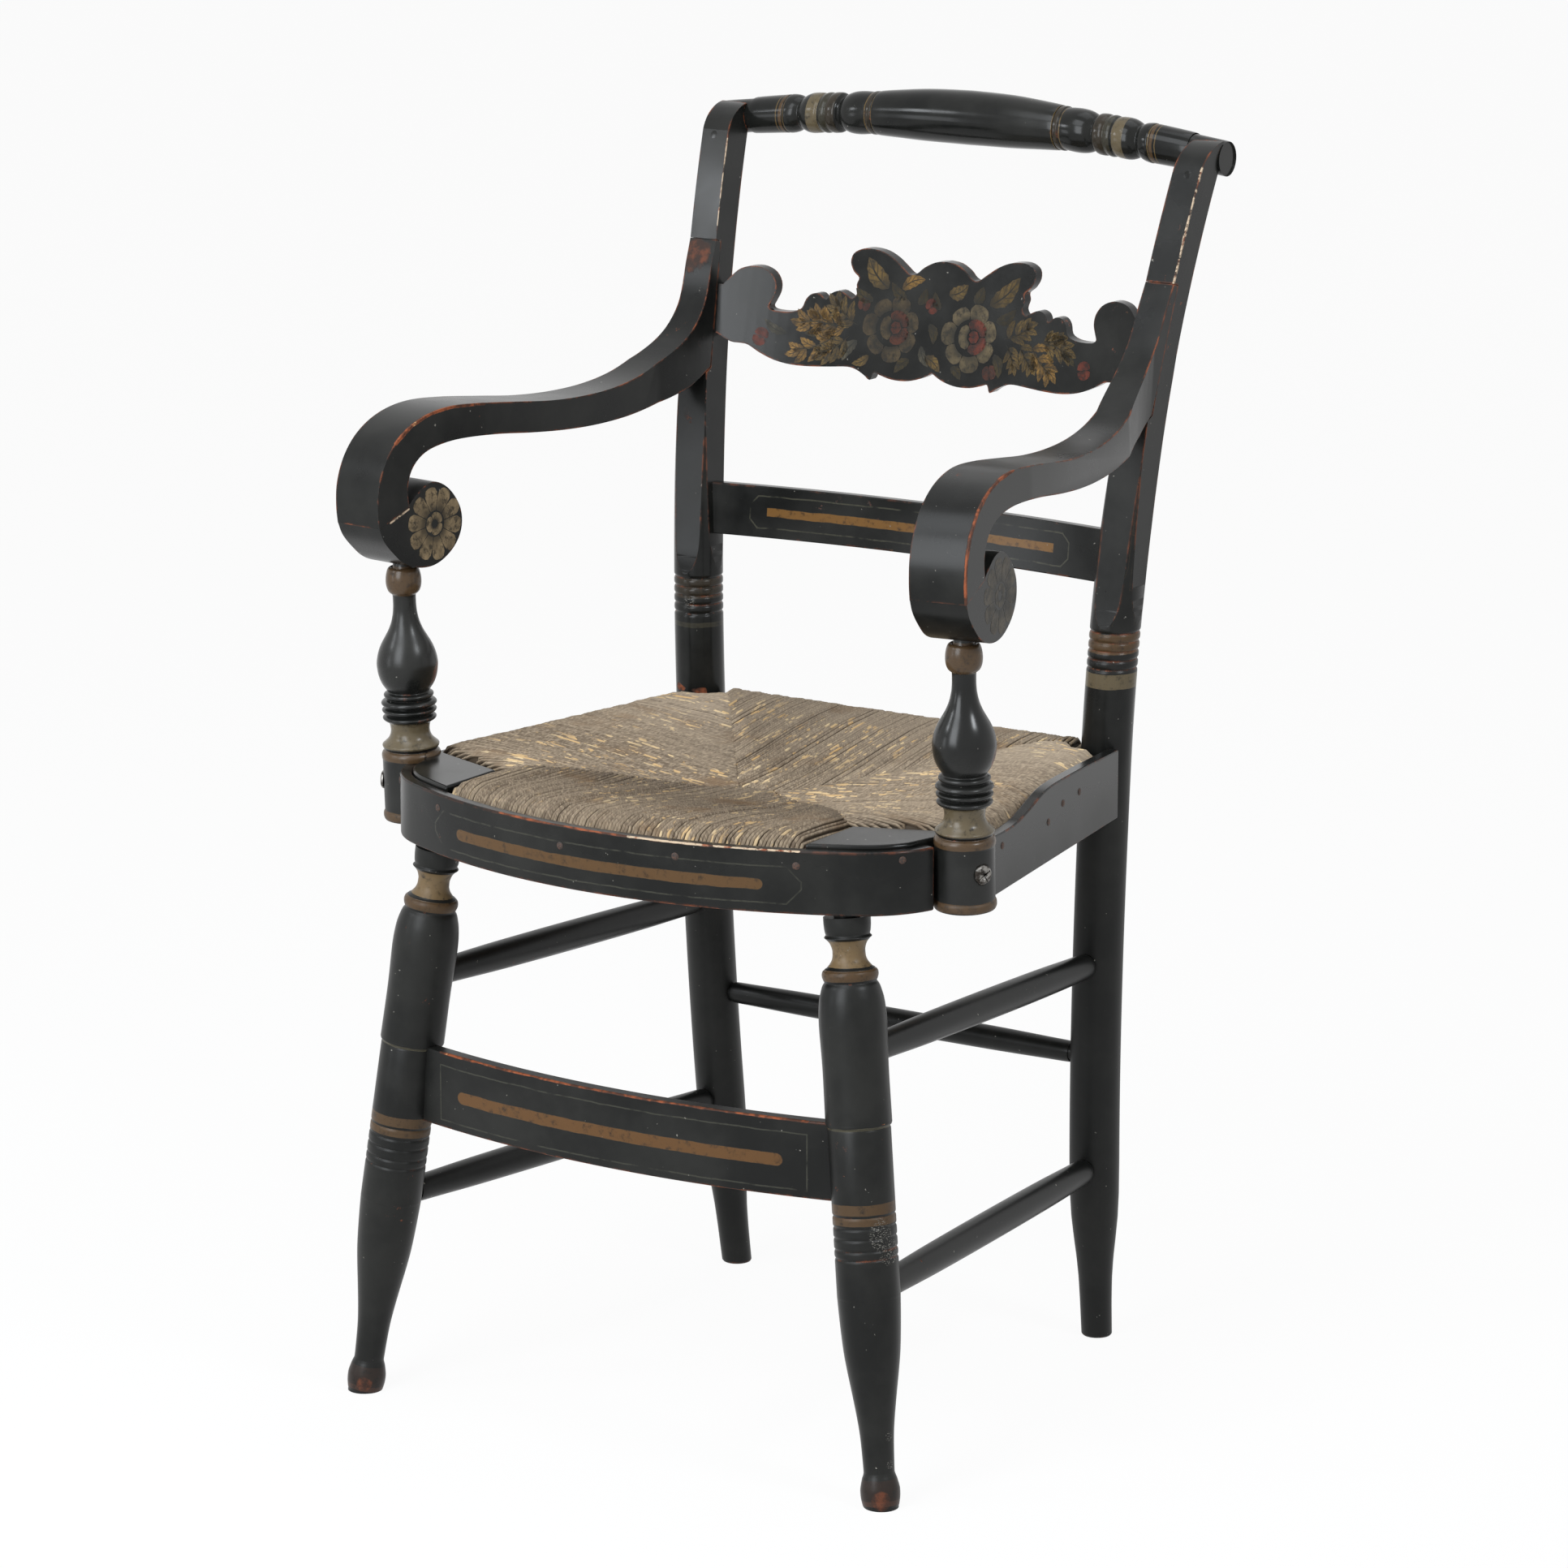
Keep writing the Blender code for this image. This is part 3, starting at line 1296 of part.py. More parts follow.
def rail_run(name, start, end):
    """The channel that a straight rail lies in, run past both its ends."""
    run = (end - start).normalized()
    first = start - run * CUT_REACH / 2
    length = (end - start).length + CUT_REACH
    rows = [(RAIL_DEEP + RUSH_GAP, z) for z in steps_between(length, 0.0, 3)]
    cut(rush_seat, cutter(name, lay_level(first, end, oval(rows))))


cut(rush_seat, cutter("front_rail_run", front_rail_mesh(RUSH_GAP + FIT / 3, rail_neck + 2 * FIT)))
rail_run("right_rail_run", side_start, side_end)
rail_run("left_rail_run", across(side_start), across(side_end))
rail_run("back_rail_run", back_start, back_end)

mirrored(right_block, "left_corner_block")
mirrored(right_leg, "left_front_leg")
mirrored(right_post, "left_back_post")
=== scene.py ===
import math
import random

import bmesh
import bpy
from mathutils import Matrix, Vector
from mathutils.bvhtree import BVHTree


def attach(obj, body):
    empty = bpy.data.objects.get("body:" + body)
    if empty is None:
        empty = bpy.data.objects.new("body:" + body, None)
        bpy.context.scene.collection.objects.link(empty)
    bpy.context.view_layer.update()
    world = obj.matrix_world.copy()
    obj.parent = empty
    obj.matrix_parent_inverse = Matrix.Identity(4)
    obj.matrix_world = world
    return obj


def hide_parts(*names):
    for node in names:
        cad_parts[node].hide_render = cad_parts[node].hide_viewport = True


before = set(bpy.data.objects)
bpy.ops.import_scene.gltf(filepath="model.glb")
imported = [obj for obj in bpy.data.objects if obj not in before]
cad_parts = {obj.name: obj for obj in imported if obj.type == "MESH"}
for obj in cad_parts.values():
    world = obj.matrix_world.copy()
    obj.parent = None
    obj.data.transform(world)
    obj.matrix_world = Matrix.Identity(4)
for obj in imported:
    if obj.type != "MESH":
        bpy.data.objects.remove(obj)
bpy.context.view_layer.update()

# Back posts: two poles turned round with five scratch rings, steamed and bent back above the
# seat, and shaved flat above the rings. Painted black over a red undercoat, bronzed at the rings.
POST_R = 0.0178
POST_TOP_Z = 0.8681
POST_FOOT_X = 0.1555
POST_SPLAY = 0.0347
POST_FLARE = 0.0117
POST_SEAT_Y = 0.1368
POST_SEAT_Z = 0.40
POST_BENT_RUN = 0.46
BACK_BEND, BACK_BEND_POWER = 0.0793, 2.37
FOOT_BEND, FOOT_BEND_POWER = 0.0235, 2.35
POST_TAPER = (
    (0.000, 0.0102), (0.0012, 0.0110), (0.026, 0.0114), (0.044, 0.0120), (0.060, 0.0132),
    (0.076, 0.0150), (0.092, 0.0166), (0.110, 0.0175), (0.135, POST_R), (0.900, POST_R),
)
POST_RINGS = (0.4985, 0.5049, 0.5113, 0.5177, 0.5241)
POST_RING_DEPTH = 0.0010
POST_RING_HALF = 0.0011
POST_FACE_HALF = 0.0111
POST_DEPTH_HALF = 0.0128
POST_SHAVED = (
    (0.5150, 0.0196, 0.0200, 0.0300), (0.5210, 0.0188, 0.0188, 0.0280),
    (0.5270, 0.0182, 0.0179, 0.0260), (0.5330, 0.0175, 0.0166, 0.0235),
    (0.5390, 0.0168, 0.0156, 0.0218), (0.5450, 0.0162, 0.0149, 0.0207),
    (0.5530, 0.0156, 0.01445, 0.0198), (0.5650, 0.0151, 0.0141, 0.0190),
    (0.5850, 0.0145, 0.0138, 0.0178), (0.6150, 0.0135, 0.0133, 0.0165),
    (0.6550, 0.0121, POST_DEPTH_HALF, 0.0150), (0.7000, POST_FACE_HALF, POST_DEPTH_HALF, 0.0138),
    (0.7400, POST_FACE_HALF, POST_DEPTH_HALF, POST_DEPTH_HALF),
    (0.9000, POST_FACE_HALF, POST_DEPTH_HALF, POST_DEPTH_HALF),
)
SHAVE_LOW = 0.5150
SHAVE_SLACK = 0.00008
TURNED_STEPS = 48
ROD_STEPS = 32
CREST_END_Z = 0.8451
CREST_Y = 0.22925
TIP_CURVE = (
    (-0.0400, -0.0190), (-0.0366, -0.0110), (-0.0325, -0.0025), (-0.0265, 0.0045),
    (-0.0190, 0.0092), (-0.0120, 0.0118), (-0.0060, 0.0128),
)
CUT_REACH = 0.0600
CUT_X = 0.1953
CUT_Y = 0.1700
CUT_DEPTH = 0.100
CREST_NOTCH_R = 0.0126
BLACK_DEEP = (0.0060, 0.0064, 0.0060, 1.0)
BLACK_FADED = (0.0150, 0.0152, 0.0138, 1.0)
UNDERCOAT = (0.2600, 0.0720, 0.0280, 1.0)
UNDERCOAT_DARK = (0.0600, 0.0240, 0.0140, 1.0)
BARE_WOOD = (0.5000, 0.2900, 0.1400, 1.0)
PALE_WOOD_AND_GLINT = (0.5200, 0.4000, 0.2800, 1.0)
PALE_SCUFF_AND_GLINT = (0.2100, 0.2000, 0.1750, 1.0)
BRONZE = (0.0700, 0.0420, 0.0210, 1.0)
RUBBED_BRONZE = (0.0290, 0.0230, 0.0160, 1.0)
OLIVE = (0.1050, 0.0820, 0.0480, 1.0)
RUBBED_OLIVE = (0.0330, 0.0300, 0.0210, 1.0)


def wire(tree, kind, sockets=None, out=0, **settings):
    """Adds one shader node, fills its sockets with values or links, and gives one output."""
    made = tree.nodes.new("ShaderNode" + kind)
    for key, value in settings.items():
        setattr(made, key, value)
    for key, value in (sockets or {}).items():
        if isinstance(value, bpy.types.NodeSocket):
            tree.links.new(value, made.inputs[key])
        else:
            made.inputs[key].default_value = value
    return made.outputs[out]


def calc(operation, first, second=0.0):
    """A sum on one or two shader values, in the tree that the values belong to."""
    tree = (first if isinstance(first, bpy.types.NodeSocket) else second).id_data
    return wire(tree, "Math", {0: first, 1: second}, operation=operation)


def times(first, second):
    return calc("MULTIPLY", first, second)


def plus(first, second):
    return calc("ADD", first, second)


def minus(first, second):
    return calc("SUBTRACT", first, second)


def most(first, second):
    return calc("MAXIMUM", first, second)


def vector_calc(operation, first, second, out="Vector"):
    return wire(first.id_data, "VectorMath", {0: first, 1: second}, out=out, operation=operation)


def parted(vector):
    """The three parts of a vector."""
    return wire(vector.id_data, "SeparateXYZ", {0: vector}).node.outputs


def ease(value, low, high):
    """0 at low and 1 at high, with a smooth rise between them."""
    sockets = {"Value": value, "From Min": low, "From Max": high}
    return wire(value.id_data, "MapRange", sockets, interpolation_type="SMOOTHSTEP")


def over(share, under, upper):
    return wire(share.id_data, "Mix", {0: share, 6: under, 7: upper}, out=2, data_type="RGBA")


def speckle(place, scale, detail=4.0, rough=0.6):
    sockets = {"Vector": place, "Scale": scale, "Detail": detail, "Roughness": rough}
    return wire(place.id_data, "TexNoise", sockets)


def new_material(name):
    made = bpy.data.materials.new(name)
    made.use_nodes = True
    return made, made.node_tree, made.node_tree.nodes["Principled BSDF"]


def coat(shader, colour, rough, grain, deep, strength=1.0):
    """Gives a finish its colour, its roughness and its raised grain."""
    tree = shader.id_data
    lifted = wire(tree, "Bump", {"Height": grain, "Distance": deep, "Strength": strength}, out="Normal")
    for socket, value in (("Base Color", colour), ("Roughness", rough), ("Normal", lifted)):
        tree.links.new(value, shader.inputs[socket])


def near(place, patch, spots):
    """1 inside ragged patches, each given by its middle and its reach."""
    total = None
    for x, y, z, reach in spots:
        away = vector_calc("DISTANCE", place, (x, y, z), "Value")
        ragged = minus(calc("DIVIDE", away, reach), times(patch, 1.5))
        inside = ease(ragged, 0.22, 0.02)
        total = inside if total is None else most(total, inside)
    return total


def along_line(place, patch, lines):
    """1 along ragged lines, worn ones and painted highlights, each given by its two ends and its reach."""
    total = None
    for start, end, reach in lines:
        run = end - start
        off = vector_calc("SUBTRACT", place, start)
        share = vector_calc("DOT_PRODUCT", off, run / run.length_squared, "Value")
        share = most(calc("MINIMUM", share, 1.0), 0.0)
        foot = wire(place.id_data, "VectorMath", {0: run, "Scale": share}, operation="SCALE")
        away = vector_calc("DISTANCE", off, foot, "Value")
        ragged = minus(calc("DIVIDE", away, reach), times(patch, 1.8))
        inside = ease(ragged, 0.12, -0.08)
        total = inside if total is None else most(total, inside)
    return total


def stretches_along(line, reach):
    """The stretches of a line, of wear or of painted highlight, each with how far the line reaches."""
    return [(*ends, reach) for ends in zip(line, line[1:])]


def black_paint(
        name, decoration=None, rubbed=0.5, rubs=(), scuffs_and_glints=(), rub_lines=(), bare_and_glint_lines=(),
        gloss=0.20, satin=0.0):
    """Old black paint, thin and faded, rubbed through to a red undercoat along its edges."""
    made, tree, shader = new_material(name)
    place = wire(tree, "TexCoord", out="Object")
    cloud = speckle(place, 15.0)
    skin = speckle(place, 420.0, 3.0)
    colour = over(ease(cloud, 0.36, 0.70), BLACK_DEEP, BLACK_FADED)
    if decoration:
        drawn, cover = decoration(tree, place)
        thin = ease(speckle(place, 170.0, 5.0, 0.7), 0.22, 0.50)
        colour = over(times(cover, thin), colour, drawn)
    softened = wire(tree, "Bevel", {"Radius": 0.0020}, samples=4)
    facing = wire(tree, "NewGeometry", out="Normal")
    turn = vector_calc("DOT_PRODUCT", softened, facing, "Value")
    edge = ease(turn, 0.985, 0.90)
    patch = speckle(place, 38.0, 6.0, 0.70)
    threshold = 0.66 - 0.30 * rubbed
    bare = times(edge, ease(patch, threshold, threshold + 0.07))
    cluster = ease(speckle(place, 9.0, 2.0), 0.60, 0.72)
    chip = times(cluster, ease(speckle(place, 95.0, 5.0, 0.75), 0.63, 0.66))
    worn = most(bare, chip)
    if rubs:
        worn = most(worn, times(near(place, patch, rubs), 0.38))
    if rub_lines:
        worn = most(worn, along_line(place, patch, rub_lines))
    under = over(ease(speckle(place, 120.0), 0.42, 0.62), UNDERCOAT_DARK, UNDERCOAT)
    under = over(ease(speckle(place, 70.0, 5.0), 0.66, 0.72), under, BARE_WOOD)
    colour = over(worn, colour, under)
    # Lines of bare wood; along the left post's inner front corner the pale line is a painted highlight.
    if bare_and_glint_lines:
        broken_line = ease(speckle(place, 150.0, 5.0, 0.7), 0.42, 0.52)
        bare_and_glint = times(along_line(place, patch, bare_and_glint_lines), broken_line)
        colour = over(bare_and_glint, colour, PALE_WOOD_AND_GLINT)
    # Pale scuff specks everywhere, and pale marks at given spots; on the left post's rings these marks are
    # painted glints.
    scuff_and_glint = ease(speckle(place, 260.0, 2.0), 0.745, 0.77)
    if scuffs_and_glints:
        stretched_place = wire(tree, "Mapping", {"Vector": place, "Scale": (1.0, 1.0, 2.6)})
        dashes = ease(speckle(stretched_place, 640.0, 2.0), 0.57, 0.63)
        scuff_and_glint = most(scuff_and_glint, times(dashes, near(place, patch, scuffs_and_glints)))
    colour = over(scuff_and_glint, colour, PALE_SCUFF_AND_GLINT)
    sheen = wire(tree, "MapRange", {
        "Value": cloud, "From Min": 0.3, "From Max": 0.7, "To Min": 0.11, "To Max": 0.22})
    kicked = times(ease(parted(place)[2], 0.46, 0.39), 0.20)
    dulled = plus(times(worn, 0.35), plus(kicked, satin))
    depth = minus(times(skin, 0.06), worn)
    coat(shader, colour, plus(sheen, dulled), depth, 0.00035, 0.5)
    shader.inputs["Specular IOR Level"].default_value = gloss
    return made


def bands(reach, *rows):
    """Painted rings: colours between pairs of distances along a turning, up to its reach."""

    def decoration(tree, place):
        wander = times(minus(speckle(place, 60.0), 0.5), 0.0016)
        along = wire(tree, "Attribute", out="Fac", attribute_name="along")
        spot = calc("DIVIDE", plus(along, wander), reach)
        ring = tree.nodes.new("ShaderNodeValToRGB")
        ring.color_ramp.interpolation = "CONSTANT"
        ring.color_ramp.elements[0].color = (0.0, 0.0, 0.0, 0.0)
        ring.color_ramp.elements.remove(ring.color_ramp.elements[1])
        for low, high, colour in rows:
            start = ring.color_ramp.elements.new(low / reach)
            start.color = colour
            end = ring.color_ramp.elements.new(high / reach)
            end.color = (0.0, 0.0, 0.0, 0.0)
        tree.links.new(spot, ring.inputs[0])
        return ring.outputs["Color"], ring.outputs["Alpha"]

    return decoration


def turned(profile, steps):
    """A closed turning about Z from (radius, height) pairs, with the height kept as "along"."""
    work = bmesh.new()
    along = work.verts.layers.float.new("along")
    points = [(0.0, profile[0][1]), *profile, (0.0, profile[-1][1])]
    line = [work.verts.new((r, 0.0, z)) for r, z in points]
    for spot in line:
        spot[along] = spot.co.z
    edges = [work.edges.new(pair) for pair in zip(line, line[1:])]
    bmesh.ops.spin(
        work, geom=line + edges, cent=(0, 0, 0), axis=(0, 0, 1), angle=math.tau, steps=steps, use_merge=True)
    bmesh.ops.remove_doubles(work, verts=work.verts, dist=0.000005)
    bmesh.ops.recalc_face_normals(work, faces=work.faces)
    return work


def sawn(outline, low=-1.0, high=1.0):
    """A flat outline in x and y, sawn out and made thick from low to high in z."""
    work = bmesh.new()
    face = work.faces.new([work.verts.new((x, y, low)) for x, y in outline])
    grown = bmesh.ops.extrude_face_region(work, geom=[face], use_keep_orig=True)["geom"]
    raised = [part for part in grown if isinstance(part, bmesh.types.BMVert)]
    bmesh.ops.translate(work, vec=(0.0, 0.0, high - low), verts=raised)
    bmesh.ops.recalc_face_normals(work, faces=work.faces)
    return work


def laid(work, place):
    for spot in work.verts:
        spot.co = place(*spot.co)
    bmesh.ops.recalc_face_normals(work, faces=work.faces)
    return work


def smooth(points, between):
    """Points on a curve through the given points, ends kept."""
    ends = [points[0], *points, points[-1]]
    found = []
    for a, b, c, d in zip(ends, ends[1:], ends[2:], ends[3:]):
        for k in range(between):
            t = k / between
            found.append(tuple(
                0.5 * (2 * q + (r - p) * t + (2 * p - 5 * q + 4 * r - s) * t * t
                       + (3 * q - p - 3 * r + s) * t ** 3)
                for p, q, r, s in zip(a, b, c, d)))
    return [*found, points[-1]]


def spread(first, last, count):
    return [first + (last - first) * k / count for k in range(count + 1)]


def between_rows(rows, value):
    """The row at this value, from rows that rise in their first column."""
    for a, b in zip(rows, rows[1:]):
        if value <= b[0]:
            share = max((value - a[0]) / (b[0] - a[0]), 0.0)
            return [p + (q - p) * share for p, q in zip(a[1:], b[1:])]
    return list(rows[-1][1:])


def put_down(work, name):
    """Makes an object of a worked shape."""
    mesh = bpy.data.meshes.new(name)
    work.to_mesh(mesh)
    work.free()
    made = bpy.data.objects.new(name, mesh)
    bpy.context.scene.collection.objects.link(made)
    return made


def carved(work, *tools):
    """The shape with each tool's shape cut out of it."""
    blank = put_down(work, "blank")
    wastes = [put_down(tool, "waste") for tool in tools]
    for waste in wastes:
        step = blank.modifiers.new("cut", "BOOLEAN")
        step.operation = "DIFFERENCE"
        step.solver = "MANIFOLD"
        step.object = waste
    bpy.context.view_layer.update()
    cut = bpy.data.meshes.new_from_object(blank.evaluated_get(bpy.context.evaluated_depsgraph_get()))
    made = bmesh.new()
    made.from_mesh(cut)
    for used in (blank, *wastes):
        bpy.data.objects.remove(used)
    bmesh.ops.remove_doubles(made, verts=made.verts, dist=0.000005)
    return made


def other_hand(work):
    """The same shape for the chair's left side."""
    made = work.copy()
    bmesh.ops.scale(made, vec=(-1.0, 1.0, 1.0), verts=made.verts)
    bmesh.ops.reverse_faces(made, faces=made.faces)
    return made


def set_piece(work, name, material, slot, *nodes, eased=0.0, sharp=35.0, flat=None):
    """Makes the finished piece, with its edges eased where a width is given and crisp elsewhere."""
    for face in work.faces:
        face.smooth = True
    if not eased:
        shaved = {face for face in work.faces if flat and flat(face)}
        for edge in work.edges:
            sides = [face in shaved for face in edge.link_faces]
            edge.smooth = edge.calc_face_angle(0.0) < math.radians(sharp) and sides[0] == sides[-1]
    made = put_down(work, name)
    made.data.materials.append(material)
    if eased:
        rounding = made.modifiers.new("eased_edges", "BEVEL")
        rounding.width = eased
        rounding.segments = 3
        rounding.limit_method = "ANGLE"
        rounding.angle_limit = math.radians(sharp)
        rounding.harden_normals = True
    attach(made, "root")
    if nodes:
        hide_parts(*nodes)
    return made


def stood(work, foot, way):
    """Stands a turning on its foot, pointing this way."""
    turn = way.to_track_quat("Z", "Y")
    return laid(work, lambda x, y, z: foot + turn @ Vector((x, y, z)))


def rod(start, end, radius):
    run = end - start
    return stood(turned([(radius, run.length), (radius, 0.0)], ROD_STEPS), start, run)


def post_axis(z):
    """The middle of a right-hand post at this height, bent back above the seat and at the foot."""
    rise = max(z - POST_SEAT_Z, 0.0) / POST_BENT_RUN
    fall = max(POST_SEAT_Z - z, 0.0) / POST_SEAT_Z
    y = POST_SEAT_Y + BACK_BEND * rise ** BACK_BEND_POWER + FOOT_BEND * fall ** FOOT_BEND_POWER
    return Vector((POST_FOOT_X + POST_SPLAY * z + POST_FLARE * rise ** 2, y, z))


def post_radius(z):
    ring = sum(math.exp(-((z - height) / POST_RING_HALF) ** 2) for height in POST_RINGS)
    return between_rows(POST_TAPER, z)[0] - POST_RING_DEPTH * ring


def bend_post(x, y, z):
    return post_axis(z) + Vector((x, y, 0.0))


shaved_rows = smooth(POST_SHAVED, 4)


def shaved_line(place, far):
    """The outline of what a shave takes off one side, from its lower end to past the tip."""
    heights = spread(SHAVE_LOW, 0.5650, 50) + spread(0.5690, POST_TOP_Z + 0.0100, 60)
    cut = [(place(post_axis(z), between_rows(shaved_rows, z)), z) for z in heights]
    return [*cut, (far, heights[-1]), (far, heights[0])]


def is_shaved(face):
    """True for a face left by the shave, which keeps a crisp edge."""
    middle = face.calc_center_median()
    middle.x = abs(middle.x)
    axis = post_axis(middle.z)
    half, front, back = between_rows(shaved_rows, middle.z)
    off = middle - axis
    gaps = (off.y + front, off.y - back, off.x - half, off.x + half)
    return middle.z > SHAVE_LOW + 0.0050 and min(abs(gap) for gap in gaps) < SHAVE_SLACK


post_heights = spread(POST_TOP_Z, 0.532, 44) + spread(0.531, 0.491, 80) + spread(0.486, 0.140, 34)
post_heights += spread(0.134, 0.004, 22) + [0.0024, 0.0012, 0.0005, 0.0]
post_shape = laid(turned([(post_radius(z), z) for z in post_heights], TURNED_STEPS), bend_post)
tip = [(CREST_Y + y, CREST_END_Z + z) for y, z in smooth(TIP_CURVE, 3)]
tip_waste = [
    *tip,
    (tip[-1][0], CREST_END_Z),
    (CREST_Y + CUT_REACH, CREST_END_Z),
    (CREST_Y + CUT_REACH, POST_TOP_Z + CUT_REACH),
    (tip[0][0] - CUT_REACH, POST_TOP_Z + CUT_REACH),
    (tip[0][0] - CUT_REACH, tip[0][1]),
]
arm_rebate = [
    (0.1098, 0.7827), (0.17583, 0.76323), (0.15283, 0.67487), (0.0868, 0.6433),
]


def through_post(u, v, w):
    return Vector((CUT_X + CUT_REACH * w, u, v))


def along_post(u, v, w):
    return Vector((u, CUT_Y + CUT_DEPTH * w, v))


crest_end = Vector((0.1940, CREST_Y, 0.8468))
crest_fall = Vector((1.0, 0.0, -0.1260)) * 0.030
post_shape = carved(
    post_shape,
    laid(sawn(shaved_line(lambda axis, row: axis.y - row[1], 0.05)), through_post),
    laid(sawn(shaved_line(lambda axis, row: axis.y + row[2], 0.30)), through_post),
    laid(sawn(shaved_line(lambda axis, row: axis.x + row[0], 0.26)), along_post),
    laid(sawn(shaved_line(lambda axis, row: axis.x - row[0], 0.12)), along_post),
    laid(sawn(tip_waste), through_post),
    laid(sawn(arm_rebate), through_post),
    rod(crest_end - crest_fall, crest_end + crest_fall, CREST_NOTCH_R),
)


def post_corner(z, side):
    """A spot on a right-hand post's front corner: side is 1 outside and -1 inside."""
    half, front, _ = between_rows(shaved_rows, z)
    return post_axis(z) + Vector((side * half, -front, 0.0))


outer_corner = [post_corner(z, 1.0) for z in (0.8420, 0.8050, 0.7650, 0.7200, 0.6900)]
LEFT = Vector((-1.0, 1.0, 1.0))
# The pale line along the left post's inner front corner is a painted highlight.
inner_glint_corner = [post_corner(z, -1.0) * LEFT for z in (0.8350, 0.8050, 0.7750)]
right_post_paint = black_paint(
    "right_post_black_paint",
    bands(0.9, (0.4850, 0.4950, OLIVE), (0.5085, 0.5145, BRONZE), (0.5150, 0.5225, BRONZE)),
    rubbed=0.70,
    bare_and_glint_lines=stretches_along(outer_corner, 0.0012),
    satin=0.12,
)
left_post_paint = black_paint(
    "left_post_black_paint",
    bands(0.9, (0.4880, 0.4890, RUBBED_OLIVE), (0.5085, 0.5225, RUBBED_BRONZE)),
    rubbed=0.66,
    # The pale marks at the rings are painted glints.
    scuffs_and_glints=((-0.1700, 0.1200, 0.5070, 0.0060),),
    rub_lines=stretches_along([Vector((-0.1800, 0.1210, 0.4440)), Vector((-0.1600, 0.1240, 0.4420))], 0.0034),
    bare_and_glint_lines=stretches_along(inner_glint_corner, 0.0006),
    satin=0.05,
)
set_piece(
    other_hand(post_shape), "finished_left_back_post", left_post_paint, "black_paint", "left_back_post",
    sharp=30.0, flat=is_shaved)
set_piece(
    post_shape, "finished_right_back_post", right_post_paint, "black_paint", "right_back_post",
    sharp=30.0, flat=is_shaved)

# Crest rail: turned with a long swelled middle, balls and rings, bent to a low arch and let
# into notches behind the post tips. Rings picked out in olive, gold and bronze.
CREST_Z = 0.8590
CREST_FALL = 0.0139
CREST_HALF = 0.20688
CREST_PROFILE = (
    (0.0000, 0.0193), (0.0340, 0.0187), (0.0600, 0.0171), (0.0740, 0.0160), (0.0744, 0.0153),
    (0.0752, 0.0152), (0.0760, 0.0156), (0.0790, 0.0157), (0.0797, 0.0151), (0.0806, 0.0149),
    (0.0840, 0.0153), (0.0900, 0.0156), (0.0960, 0.0152), (0.1005, 0.0140), (0.1035, 0.0123),
    (0.1048, 0.0114), (0.1058, 0.0120), (0.1075, 0.0142), (0.1110, 0.0147), (0.1135, 0.0145),
    (0.1152, 0.0138), (0.1165, 0.0143), (0.1185, 0.0147), (0.1205, 0.0143), (0.1222, 0.0136),
    (0.1240, 0.0143), (0.1270, 0.0146), (0.1310, 0.0146), (0.1345, 0.0140), (0.1380, 0.0125),
    (0.1402, 0.0112), (0.1418, 0.0119), (0.1445, 0.0132), (0.1480, 0.0139), (0.1505, 0.0140),
    (0.1512, 0.0135), (0.1520, 0.0134), (0.1528, 0.0138), (0.1560, 0.0138), (0.1810, 0.0132),
    (0.1812, 0.0123), (CREST_HALF - 0.0006, 0.0123), (CREST_HALF, 0.0117),
)


def lay_crest(x, y, z):
    return Vector((z, CREST_Y + x, CREST_Z - CREST_FALL * (z / CREST_HALF) ** 2 + y))


crest_side = smooth(CREST_PROFILE, 4)
crest_rows = [(r, x) for x, r in reversed(crest_side)] + [(r, -x) for x, r in crest_side[1:]]
crest_shape = turned(crest_rows, 40)
crest_along = crest_shape.verts.layers.float["along"]
for crest_spot in crest_shape.verts:
    crest_spot[crest_along] = abs(crest_spot.co.z)
CREST_GOLD = (0.1000, 0.0660, 0.0280, 1.0)
crest_paint = black_paint(
    "crest_black_paint",
    bands(
        0.21, (0.0741, 0.0751, CREST_GOLD), (0.0758, 0.0794, RUBBED_BRONZE), (0.0798, 0.0807, CREST_GOLD),
        (0.1070, 0.1142, RUBBED_BRONZE), (0.1146, 0.1205, RUBBED_OLIVE), (0.1220, 0.1310, OLIVE),
        (0.1505, 0.1512, CREST_GOLD), (0.1522, 0.1548, BRONZE), (0.1562, 0.1568, CREST_GOLD)),
    rubbed=0.3,
)
set_piece(laid(crest_shape, lay_crest), "finished_crest_rail", crest_paint, "black_paint", "crest_rail")

# Plugs: a short dowel in each post tip, driven in to pin the crest rail and trimmed nearly
# flush, under the same black paint.
PLUG_FACE = Vector((0.1962, 0.1943, 0.8376))
PLUG_IN = Vector((0.0, 0.9285, -0.3714))


def set_pair(work, name, material, slot="black_paint", **finish):
    left = other_hand(work)
    for hand, shape in (("left_", left), ("right_", work)):
        set_piece(shape, "finished_" + hand + name, material, slot, hand + name, **finish)


plug_rows = [(0.0012, 0.0120), (0.0034, 0.0118), (0.0042, 0.0110), (0.0042, 0.0)]
plug_shape = stood(turned(plug_rows, 24), PLUG_FACE + PLUG_IN * 0.0120, -PLUG_IN)
plug_paint = black_paint("plug_black_paint", rubbed=0.05)
set_pair(plug_shape, "crest_plug", plug_paint)

